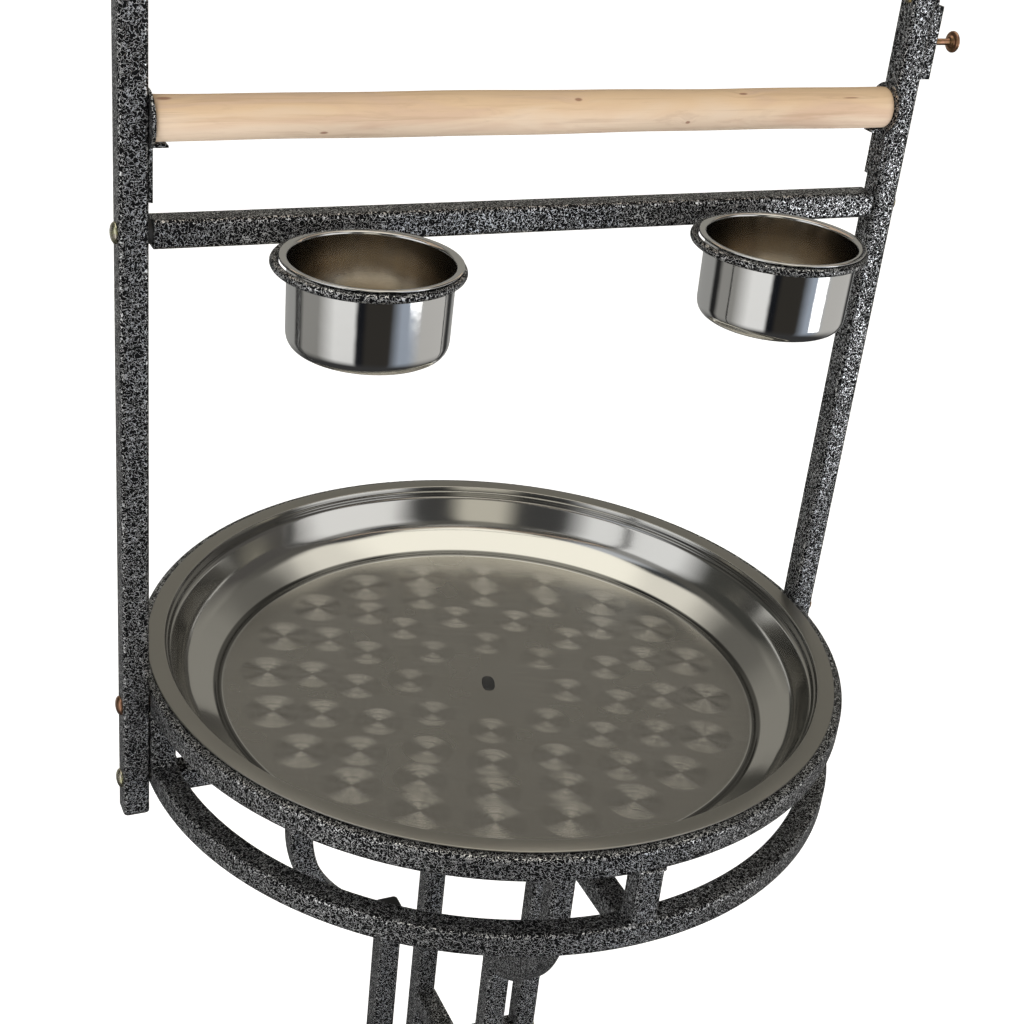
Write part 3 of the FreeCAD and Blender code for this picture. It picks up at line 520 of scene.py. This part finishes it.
for bar, along in (("across", (1, 0, 0)), ("front", (0, 1, 0)), ("back", (0, 1, 0))):
    node = f"low_bar_{bar}"
    axis = np.array(along)
    line, angles = bentLine((low(node) @ axis, 0), 0, [("go", (high(node) - low(node)) @ axis)])
    addTube(f"lowBar{bar.title()}", node, line, angles, along, upward, middle(node) * (1 - axis))
print("rings done")

# scroll brackets, columns and legs

scroll = dict(bend=0.100, drop=0.130)
leg = dict(bend=0.100)
for quarter, (dx, dy) in quarters.items():
    outward = np.array((dx, dy, 0))
    node = f"scroll_bracket_{quarter}"
    reach = max(low(node) @ outward, high(node) @ outward) - tube["side"] / 2
    face = min(low(node) @ outward, high(node) @ outward)
    hub = reach - scroll["bend"]
    drop = high(node)[2] - (ringTop - scroll["drop"])
    stop = 90 - math.degrees(math.asin((face - hub) / scroll["bend"]))
    line, angles = bentLine((reach, high(node)[2]), -90,
                            [("go", drop), ("turn", scroll["bend"], -stop)])
    angles[-1] = -math.pi  # the end is cut to the column's upright face
    grid, faces = carried(square, line, angles, outward, upward)
    grid[-1] += (face - grid[-1] @ outward)[:, None] * outward
    addPiece(f"scrollBracket{quarter.title()}", grid, faces, "stand", paint, (node,))

    column = f"column_{quarter}"
    line, angles = bentLine((0, low(column)[2]), 90, [("go", high(column)[2] - low(column)[2])])
    addTube(f"column{quarter.title()}", column, line, angles, outward, upward, middle(column) * (1, 1, 0))

    node = f"leg_{quarter}"
    start, reach = (face, max(low(node) @ outward, high(node) @ outward) - tube["side"] / 2)
    height = high(node)[2] - tube["side"] / 2
    line, angles = bentLine((start, height), 0,
                            [("go", reach - leg["bend"] - start), ("turn", leg["bend"], -90),
                             ("go", height - leg["bend"] - low(node)[2])])
    addTube(f"leg{quarter.title()}", node, line, angles, outward, upward, (0, 0, 0))
print("columns and legs done")

# uprights, arch and cup rail

for side, sign in sides.items():
    node = f"{side}_upright"
    line, angles = bentLine((0, low(node)[2]), 90, [("go", high(node)[2] - low(node)[2])])
    addTube(f"{side}Upright", node, line, angles, (1, 0, 0), upward, middle(node) * (1, 1, 0))

archReach = high("top_arch")[0] - tube["side"] / 2
archFoot = low("top_arch")[2]
archStraight = high("top_arch")[2] - tube["side"] / 2 - archReach - archFoot
line, angles = bentLine((archReach, archFoot), 90,
                        [("go", archStraight), ("turn", archReach, 180), ("go", archStraight)], 2.0)
addTube("topArch", "top_arch", line, angles, (1, 0, 0), upward, (0, 0, 0))
line, angles = bentLine((low("cup_rail")[0], 0), 0, [("go", high("cup_rail")[0] - low("cup_rail")[0])])
addTube("cupRail", "cup_rail", line, angles, (1, 0, 0), upward, middle("cup_rail") * (0, 1, 1))
print("uprights done")

# weld beads: a rippled cord of weld round the end of a tube

weld = dict(radius=0.0014, ripple=0.0028, depth=0.22, corner=0.003)


def weldLoop(centre, axis, side=tube["side"]):
    # bead along a rounded square: tube radius = radius (1 + depth sin of the way round)
    outline = squareSection(side, weld["corner"], 5)
    gaps = np.linalg.norm(np.roll(outline, -1, 0) - outline, axis=1)
    way = np.concatenate([[0], np.cumsum(gaps)])
    fine = np.linspace(0, way[-1], 120, endpoint=False)
    loop = np.stack([np.interp(fine, way, np.append(outline[:, k], outline[0, k])) for k in range(2)], 1)
    ahead = np.roll(loop, -1, 0) - np.roll(loop, 1, 0)
    sideways = np.stack([ahead[:, 1], -ahead[:, 0]], 1) / np.linalg.norm(ahead, axis=1)[:, None]
    fat = weld["radius"] * (1 + weld["depth"] * np.sin(fine / weld["ripple"] * 2 * math.pi))
    turn = np.linspace(0, 2 * math.pi, 8, endpoint=False)
    flat = loop[:, None, :] + sideways[:, None, :] * (fat[:, None] * np.cos(turn))[..., None]
    grid = np.concatenate([flat, (fat[:, None] * np.sin(turn))[..., None]], -1)
    return aimed((grid, gridFaces(120, 8, closedRows=True)), axis, centre)


beads = []
for quarter, (dx, dy) in quarters.items():
    for level in (low(f"ring_stub_{quarter}")[2], high(f"ring_stub_{quarter}")[2]):
        beads.append(weldLoop(middle(f"ring_stub_{quarter}") * (1, 1, 0) + (0, 0, level), upward))
    bracket = f"scroll_bracket_{quarter}"
    reach = np.abs(np.array([low(bracket)[:2], high(bracket)[:2]])).max() - tube["side"] / 2
    beads.append(weldLoop((dx * reach, dy * reach, high(bracket)[2]), upward))
    node = f"leg_{quarter}"
    face = min(abs(low(node) @ (dx, dy, 0)), abs(high(node) @ (dx, dy, 0)))
    beads.append(weldLoop((dx * face, dy * face, high(node)[2] - tube["side"] / 2), (dx, dy, 0)))
for sign in (-1, 1):
    for axis, node in (((sign, 0, 0), "low_bar_across"), ((0, sign, 0), "low_bar_back")):
        reach = high(node) @ np.abs(axis)
        beads.append(weldLoop(np.array(axis) * reach + (0, 0, middle(node)[2]), axis))
    beads.append(weldLoop((0, sign * tube["side"] / 2, middle("low_bar_front")[2]), (0, sign, 0)))
addPiece("weldBeads", *joined(beads), "stand", paint, materialSlot="frame_paint")
print("welds done")

# bolts with low domed heads

bolt = dict(radius=0.003, head=0.006, rim=0.0005, dome=0.0031, length=0.030, archLength=0.011,
            upperDrop=0.010, lowerDrop=0.064)


def boltShape(length):
    # head = rim, then a quarter ellipse up to the pole; shank below with a small chamfer
    turn = np.linspace(0, math.pi / 2, 9)
    dome = np.stack([bolt["head"] * np.cos(turn), bolt["rim"] + (bolt["dome"] - bolt["rim"]) * np.sin(turn)], 1)
    shank = [(0, -length), (bolt["radius"] - 0.0005, -length), (bolt["radius"], -length + 0.0005),
             (bolt["radius"], 0), (bolt["head"] - 0.0003, 0)]
    return turned(np.vstack([shank, dome]), 40)


def addBolts(name, node, spots, length, material, materialSlot=None):
    made = joined([aimed(boltShape(length), axis, origin) for origin, axis in spots])
    addPiece(name, *made, "stand", material, (node,) if node else (), materialSlot)


outerFace = high("right_upright")[0]
innerFace = low("right_upright")[0]
boltHeight = dict(upper=ringTop - bolt["upperDrop"], lower=ringTop - bolt["lowerDrop"],
                  rail=middle("cup_rail")[2])
uprightSpots = {place: [((sign * outerFace, 0, height), (sign, 0, 0)) for sign in (-1, 1)]
                for place, height in boltHeight.items()}
addBolts("uprightBolts", "upright_bolts", uprightSpots["lower"] + uprightSpots["rail"], bolt["length"],
         yellowZinc)
addBolts("upperRingBolts", None, uprightSpots["upper"], bolt["length"], copperZinc, "yellow_zinc")
archHeights = (low("arch_bolts")[2] + bolt["head"], high("arch_bolts")[2] - bolt["head"])
addBolts("archBolts", "arch_bolts", [((sign * innerFace, 0, height), (-sign, 0, 0))
                                     for sign in (-1, 1) for height in archHeights],
         bolt["archLength"], yellowZinc)
columnFace = max(abs(low("column_left")[0]), abs(high("column_left")[0]))
spacerHeights = [middle(f"column_spacer_{level}")[2] for level in ("upper", "lower")]
addBolts("columnBolts", "column_bolts",
         [((dx * columnFace, dy * columnFace, height), (dx, dy, 0))
          for dx, dy in quarters.values() for height in spacerHeights], bolt["length"], yellowZinc)

# plastic caps on the tube ends

cap = dict(plate=0.0014, ease=0.0007, skirt=0.009, skirtSide=0.0129, skirtCorner=0.0006)


def capShape():
    # rounded-square plate whose edge eases over to a flat top, with a smaller skirt inside the tube
    levels = [(cap["skirtSide"], -cap["skirt"]), (cap["skirtSide"], 0), (tube["side"], 0),
              (tube["side"], cap["plate"] - cap["ease"]), (tube["side"] - 0.0004, cap["plate"] - 0.0002),
              (tube["side"] - 0.0014, cap["plate"])]
    outlines = [squareSection(side, cap["skirtCorner"] if side == cap["skirtSide"] else tube["corner"], 5)
                for side, level in levels]
    count, last = len(outlines[0]), len(outlines[0]) * (len(levels) - 1)
    rows = [np.c_[outline, np.full(count, level)] for outline, (side, level) in zip(outlines, levels)]
    faces = gridFaces(len(rows), count) + [list(range(count)), list(range(last, last + count))]
    return np.array(rows), faces


caps = []
for sign in (-1, 1):
    caps.append(aimed(capShape(), (0, 0, -1), (sign * middle("right_upright")[0], 0, low("right_upright")[2])))
for quarter in quarters:
    column = f"column_{quarter}"
    caps.append(aimed(capShape(), upward, middle(column) * (1, 1, 0) + (0, 0, high(column)[2])))
    caps.append(aimed(capShape(), (0, 0, -1), middle(column) * (1, 1, 0) + (0, 0, low(column)[2])))
addPiece("tubeCaps", *joined(caps), "stand", blackPlastic, ("tube_caps",))
print("bolts and caps done")

# perch

perch = dict(wave=0.00022, ease=0.0022)


def perchShape():
    # round stock: radius = r (1 + slow wave along and round), eased over at both ends to flat faces
    ends = low("perch")[0], high("perch")[0]
    radius = (high("perch")[2] - low("perch")[2]) / 2 - perch["wave"] * 1.6
    turn = np.linspace(0, math.pi / 2, 7)
    ease = perch["ease"]
    left = np.stack([ends[0] + ease * (1 - np.sin(turn)), radius - ease * (1 - np.cos(turn))], 1)[::-1]
    right = left[::-1] * (-1, 1) + (ends[0] + ends[1], 0)
    run = np.linspace(left[-1, 0], right[0, 0], 120)[1:-1]
    rows = np.vstack([[ends[0], 0], [ends[0], radius * 0.5], left, np.c_[run, np.full(118, radius)], right,
                      [ends[1], radius * 0.5], [ends[1], 0]])
    angle = np.linspace(0, 2 * math.pi, 64, endpoint=False)
    along, around = rows[:, :1], rows[:, 1:]
    wave = perch["wave"] * (np.sin(along * 23 + 2 * angle) + 0.6 * np.sin(along * 61 + angle * 3 + 1))
    grown = around + wave * (around > radius * 0.8)
    grid = np.stack([along + 0 * angle, grown * np.cos(angle), grown * np.sin(angle) + middle("perch")[2]], -1)
    return grid, gridFaces(len(rows), 64)


addPiece("perchRod", *perchShape(), "stand", perchFinish, ("perch",))
for side in sides:
    softened(f"perch_bracket_{side}", 0.0006, paint)

# countersunk screws: flat head, cone, then the shank up in the wood
woodScrew = dict(head=0.0030, rise=0.0004, cone=0.0016, shank=0.0016, length=0.0105, inset=0.0032,
                 stand=0.0018)
screwRows = eased([(0, -woodScrew["rise"]), (woodScrew["head"] - 0.0006, -woodScrew["rise"]),
                   (woodScrew["head"], 0), (woodScrew["shank"], woodScrew["cone"]),
                   (woodScrew["shank"], woodScrew["length"]), (0, woodScrew["length"] + 0.001)],
                  0.0003, 4)
tongueFace = low("perch_screws")[2] + woodScrew["stand"]
screwReach = high("perch_screws")[0] - woodScrew["inset"]
screws = [aimed(turned(screwRows, 28), upward, (sign * screwReach, 0, tongueFace))
          for sign in (-1, 1)]
addPiece("perchScrewHeads", *joined(screws), "stand", whiteZinc, ("perch_screws",))
print("perch done")

# cup loops and cups

loopRod = dict(radius=0.0025)
cup = dict(base=0.0440, top=0.0448, sheet=0.0009, floorEase=0.009, lip=0.0013)


def cupProfile(size):
    # outer wall up from the middle of the floor, over a rolled lip, and down the inner wall
    base, top, rim, depth = size
    outer = eased([(0, 0), (base, 0), (top, depth - cup["lip"]), (rim, depth - cup["lip"])],
                  [0, cup["floorEase"], 0.0012, 0], 10)
    turn = np.linspace(-math.pi / 2, math.pi / 2, 7)
    roll = np.stack([rim - cup["lip"] / 2 + cup["lip"] / 2 * np.cos(turn),
                     depth - cup["lip"] / 2 + cup["lip"] / 2 * np.sin(turn)], 1)
    inner = eased([(rim - cup["lip"] / 2, depth), (top - cup["sheet"] + 0.0004, depth - 0.0006),
                   (base - cup["sheet"], cup["sheet"]), (0, cup["sheet"])],
                  [0, 0.0016, cup["floorEase"] - cup["sheet"], 0], 10)
    return outer, roll, inner


for side, sign in sides.items():
    loop = f"cup_loop_{side}"
    centre = middle(loop)
    reach = (high(loop)[0] - low(loop)[0]) / 2 - loopRod["radius"]
    turns = np.linspace(0, 2 * math.pi, 120, endpoint=False)
    circle = reach * np.stack([np.cos(turns), np.sin(turns)], 1)
    ring = carried(roundSection(loopRod["radius"], 20), circle, turns + math.pi / 2, (1, 0, 0), (0, 1, 0),
                   centre, True)
    addPiece(f"cupLoop{side.title()}", *ring, "stand", paint, (loop,))

    node = f"food_cup_{side}"
    foot, rim = low(node)[2], (high(node)[0] - low(node)[0]) / 2
    size = (cup["base"], cup["top"], rim, high(node)[2] - foot)
    outer, roll, inner = cupProfile(size)
    grid, faces = turned(np.vstack([outer, roll, inner]), 128)
    grid = grid + (*middle(node)[:2], foot)
    piece = addPiece(f"foodCup{side.title()}", grid, faces, node, cupFinish, (node,))
    spots = np.empty(len(piece.data.vertices) * 3)
    piece.data.vertices.foreach_get("co", spots)
    spots = spots.reshape(-1, 3) - (*middle(node)[:2], foot)
    out = np.hypot(spots[:, 0], spots[:, 1])
    wall = np.interp(spots[:, 2], [0, 0.008, size[3] - 0.002, size[3]],
                     [0.0, size[0] - 0.0006, size[1] - 0.0006, 0.0446])
    inside = ((out < wall) & (spots[:, 2] > cup["sheet"] * 0.7)).astype(float)
    attribute = piece.data.attributes.new("inside", "FLOAT", "POINT")
    attribute.data.foreach_set("value", inside)
print("cups done")

# tray

tray = dict(sheet=0.0012, rim=0.2238, edge=0.0006)


def trayProfile():
    # top surface from the middle outwards: floor, fine groove, sloping shoulder, wall, stepped bead, brim
    floor = low("tray")[2] + tray["sheet"]
    brim, rim, edge = high("tray")[2], tray["rim"], tray["edge"]
    top = eased([(0, floor), (0.1768, floor), (0.1784, floor + 0.0009), (0.1800, floor + 0.0002),
                 (0.1818, floor + 0.0016), (0.2020, floor + 0.0128), (0.2092, brim - 0.0080),
                 (0.2108, brim - 0.0066), (0.2114, brim - 0.0040), (0.2128, brim - 0.0030),
                 (0.2136, brim), (rim, brim)],
                [0, 0.0007, 0.0008, 0.0008, 0.0008, 0.0075, 0.0014, 0.0008, 0.0008, 0.0008, 0.0007, 0], 8)
    turn = np.linspace(math.pi / 2, -math.pi / 2, 7)
    rolled = np.stack([rim + edge * np.cos(turn), brim - edge + edge * np.sin(turn)], 1)
    under = top[::-1] - (0, tray["sheet"])
    return np.vstack([top, rolled, under])


addPiece("seedTray", *turned(trayProfile(), 240), "tray", trayFinish, ("tray",))

label = dict(wide=0.0086, long=0.0168, thick=0.0004, spot=(0.0005, 0.0020), turn=72)


def labelShape():
    # blank plate: a stadium outline, eased at its top edge
    turn = np.linspace(0, 2 * math.pi, 48, endpoint=False)
    oval = np.stack([np.cos(turn) * label["long"] / 2, np.sin(turn) * label["wide"] / 2], 1)
    oval = np.sign(oval) * np.abs(oval) ** 0.8 * np.array([label["long"], label["wide"]]) ** 0.2 / 2 ** 0.2
    spin = math.radians(label["turn"])
    oval = oval @ np.array([[math.cos(spin), math.sin(spin)], [-math.sin(spin), math.cos(spin)]])
    base = low("tray")[2] + tray["sheet"]
    rows = [np.c_[oval * scale + label["spot"], np.full(48, base + rise)]
            for scale, rise in ((1, -0.0002), (1, label["thick"] * 0.6), (0.96, label["thick"]))]
    return np.array(rows), gridFaces(3, 48) + [list(range(48)), list(range(96, 144))]


addPiece("trayLabel", *labelShape(), "tray", labelInk, materialSlot="black_plastic")
print("tray done")

# toy arm, sleeve and thumbscrew

arm = dict(radius=0.0025, hookBend=0.012, hookDrop=0.040)
armAxis = middle("arm_sleeve")[0]
crookReach = (high("toy_arm")[1] - low("toy_arm")[1]) / 2 - arm["radius"]
armTop = high("toy_arm")[2] - arm["radius"] - crookReach
line, angles = bentLine((0, low("toy_arm")[2]), 90,
                        [("go", armTop - low("toy_arm")[2]), ("turn", crookReach, 180),
                         ("go", arm["hookDrop"]), ("turn", arm["hookBend"], 180)], 4.0)
grid, faces = carried(roundSection(arm["radius"]), line, angles, (0, -1, 0), upward, (armAxis, 0, 0))
addPiece("toyArmRod", grid, faces, "toy_arm", paint, ("toy_arm",))
softened("arm_sleeve", 0.0005, paint)

screw = dict(shank=0.002, disc=0.0065, ring=0.0044)


def thumbscrewShape():
    # from the tip outwards: shank, collar, waist, thin disc with a raised ring round a dished face
    tip, end = low("thumbscrew")[0], high("thumbscrew")[0]
    rows = eased([(0, tip), (screw["shank"] - 0.0004, tip), (screw["shank"], tip + 0.0005),
                  (screw["shank"], end - 0.0052), (0.0032, end - 0.0048),
                  (0.0040, end - 0.0034), (0.0058, end - 0.0030), (screw["disc"], end - 0.0022),
                  (screw["disc"], end - 0.0012), (0.0058, end - 0.0006), (screw["ring"], end),
                  (0.0036, end - 0.0002), (0.0031, end - 0.0010), (0, end - 0.0012)], 0.0003, 4)
    return turned(rows, 48)


addPiece("thumbscrewTurned", *aimed(thumbscrewShape(), (1, 0, 0), (0, 0, middle("thumbscrew")[2])),
         "thumbscrew", copperZinc, ("thumbscrew",))
print("toy arm done")

# castors

castor = dict(hub=0.0165, dish=0.0150, boss=0.0078, bore=0.00305)
for quarter, (dx, dy) in quarters.items():
    node = f"castor_wheel_{quarter}"
    axis = (0, 1, 0) if dx else (1, 0, 0)
    centre, radius = middle(node), (high(node)[2] - low(node)[2]) / 2
    half = (high(node) - low(node)) @ np.array(axis) / 2
    tyre = eased([(castor["hub"], -half + 0.001), (castor["hub"] + 0.001, -half), (radius - 0.003, -half),
                  (radius, -half + 0.0035), (radius, half - 0.0035), (radius - 0.003, half),
                  (castor["hub"] + 0.001, half), (castor["hub"], half - 0.001)],
                 [0, 0.0008, 0.0016, 0.003, 0.003, 0.0016, 0.0008, 0], 6)
    tyre = np.vstack([tyre, tyre[:1]])
    addPiece(f"castorTyre{quarter.title()}", *aimed(turned(tyre, 72), axis, centre), f"wheel_{quarter}",
             castorRubber, (node,))
    hubRows = eased([(castor["bore"], -half), (castor["boss"], -half), (0.0085, -half + 0.003),
                     (castor["dish"], -half + 0.003),
                     (castor["hub"], -half + 0.0012), (castor["hub"], half - 0.0012),
                     (castor["dish"], half - 0.003), (0.0085, half - 0.003), (castor["boss"], half),
                     (castor["bore"], half)],
                    [0, 0.0006, 0.0008, 0.0008, 0.0004, 0.0004, 0.0008, 0.0008, 0.0006, 0], 4)
    hubRows = np.vstack([hubRows, hubRows[:1]])
    addPiece(f"castorHub{quarter.title()}", *aimed(turned(hubRows, 56), axis, centre), f"wheel_{quarter}",
             castorHub, materialSlot="castor_tread")
    softened(f"castor_fork_{quarter}", 0.0008, whiteZinc, f"castor_{quarter}")
print("castors done")

# stage, light and camera

studio = dict(reach=14.0, floorGlow=0.70, facing=-116.7, strength=1.0, zenith=(1.32, 1.28, 1.14, 1))


def addStage(name, points, faces, colour, glow):
    look = bpy.data.materials.new(name)
    look.use_nodes = True
    surface = look.node_tree.nodes["Principled BSDF"]
    surface.inputs["Base Color"].default_value = (*colour, 1)
    surface.inputs["Roughness"].default_value = 0.9
    surface.inputs["Emission Color"].default_value = (1, 1, 1, 1)
    surface.inputs["Emission Strength"].default_value = glow
    mesh = bpy.data.meshes.new(name)
    mesh.from_pydata(points, [], faces)
    mesh.materials.append(look)
    item = bpy.data.objects.new(name, mesh)
    bpy.context.scene.collection.objects.link(item)
    item.visible_glossy = False
    return item


reach = studio["reach"]
addStage("studioFloor", [(-reach, -reach, 0), (reach, -reach, 0), (reach, reach, 0), (-reach, reach, 0)],
         [(0, 1, 2, 3)], (0.86, 0.86, 0.86), studio["floorGlow"])
# plain white cyclorama beyond the floor, only there for the eye
wallPoints, wallFaces = turned([(reach * 0.98, -0.01), (reach * 0.98, 9.0), (reach * 0.5, 14.0), (0, 14.5)], 48)
backdrop = addStage("studioBackdrop", wallPoints.reshape(-1, 3).tolist(), wallFaces, (0, 0, 0), 1.0)
backdrop.visible_diffuse = False
backdrop.visible_shadow = False

# soft boxes round the stand, by turn from the back (0) through the front (0.5): start, end, light
lowBoxes = [(0.00, 0.17, (0.34, 0.34, 0.33)), (0.19, 0.21, (0.02, 0.02, 0.02)),
            (0.235, 0.31, (0.30, 0.295, 0.28)), (0.385, 0.46, (0.92, 0.92, 0.91)),
            (0.476, 0.494, (0.010, 0.011, 0.014)), (0.512, 0.60, (0.035, 0.032, 0.028)),
            (0.645, 0.685, (0.38, 0.43, 0.51)), (0.74, 0.87, (0.56, 0.55, 0.53)),
            (0.895, 0.92, (0.04, 0.04, 0.04)), (0.945, 1.0, (0.34, 0.34, 0.33))]
highBoxes = [(0.00, 0.10, (0.30, 0.29, 0.26)), (0.17, 0.27, (0.06, 0.06, 0.055)),
             (0.31, 0.41, (0.98, 0.99, 1.0)), (0.44, 0.485, (0.06, 0.06, 0.06)),
             (0.505, 0.545, (0.66, 0.63, 0.54)), (0.565, 0.595, (0.06, 0.06, 0.06)),
             (0.62, 0.70, (1.0, 1.0, 1.0)), (0.75, 0.83, (0.10, 0.095, 0.09)),
             (0.90, 1.0, (0.30, 0.29, 0.26))]
topBoxes = [(0.00, 0.16, (1.0, 0.965, 0.87)), (0.20, 0.26, (0.05, 0.055, 0.06)),
            (0.30, 0.38, (0.60, 0.63, 0.68)), (0.42, 0.52, (0.10, 0.10, 0.10)),
            (0.56, 0.66, (0.50, 0.48, 0.44)), (0.70, 0.76, (0.06, 0.06, 0.065)),
            (0.80, 1.0, (1.0, 0.965, 0.87))]


def boxStops(boxes):
    return [stop for start, end, light in boxes for stop in ((start, light), (end, light))]


world = bpy.data.worlds.new("studio")
bpy.context.scene.world = world
world.use_nodes = True
sky = world.node_tree
direction = Wire(sky, sky.nodes.new("ShaderNodeTexCoord").outputs["Generated"])
x, y, z = direction.split()
turnShare = x.maths("FRACT", x.maths("ARCTAN2", y, x) / (2 * math.pi) + (1.5 - studio["facing"] / 360))
lowLight = x.node("ShaderNodeValToRGB", dict(stops=boxStops(lowBoxes)), turnShare)
highLight = x.node("ShaderNodeValToRGB", dict(stops=boxStops(highBoxes)), turnShare)
topLight = x.node("ShaderNodeValToRGB", dict(stops=boxStops(topBoxes)), turnShare)
below = z.step(-0.75, -0.40).mix((0.045, 0.045, 0.046, 1), lowLight)
around = z.step(-0.10, 0.06).mix(below, highLight)
shaded = (z.step(0.46, 0.60) * 0.75).mix(around, (0.12, 0.116, 0.105, 1))
upper = z.step(0.72, 0.84).mix(shaded, topLight)
whole = z.step(0.885, 0.93).mix(upper, studio["zenith"])
sky.links.new(whole.socket, sky.nodes["Background"].inputs["Color"])
sky.nodes["Background"].inputs["Strength"].default_value = studio["strength"]

lamps = [dict(name="keyLamp", spot=(-2.6, -2.4, 2.6), size=1.6, power=52),
         dict(name="fillLamp", spot=(2.4, -2.4, 1.5), size=1.6, power=20),
         dict(name="topLamp", spot=(-0.7, -1.7, 3.4), size=1.4, power=5),
         dict(name="lowLamp", spot=(1.85, -2.0, 0.35), size=0.9, power=5)]
aimPoint = Vector((0, 0, 1.0))
for lamp in lamps:
    light = bpy.data.lights.new(lamp["name"], "AREA")
    light.size, light.energy = lamp["size"], lamp["power"]
    holder = bpy.data.objects.new(lamp["name"], light)
    holder.location = lamp["spot"]
    holder.visible_glossy = lamp["name"] == "lowLamp"
    holder.rotation_euler = (aimPoint - Vector(lamp["spot"])).to_track_quat("-Z", "Y").to_euler()
    bpy.context.scene.collection.objects.link(holder)

shot = dict(spot=(-0.4316, -0.8599, 1.4691), target=(0.0016, 0.0, 0.9641), roll=6.3, lens=59.87,
            shift=(0.0032, 0.0114))
cameraData = bpy.data.cameras.new("shotCamera")
cameraData.lens, cameraData.sensor_width = shot["lens"], 36
cameraData.shift_x, cameraData.shift_y = shot["shift"]
cameraData.clip_end = 60
camera = bpy.data.objects.new("shotCamera", cameraData)
look = (Vector(shot["target"]) - Vector(shot["spot"])).to_track_quat("-Z", "Y").to_matrix()
camera.matrix_world = (Matrix.Translation(shot["spot"]) @ look.to_4x4()
                       @ Matrix.Rotation(math.radians(shot["roll"]), 4, "Z"))
bpy.context.scene.collection.objects.link(camera)
bpy.context.scene.camera = camera
bpy.context.scene.view_settings.view_transform = "Standard"
print("stage done")
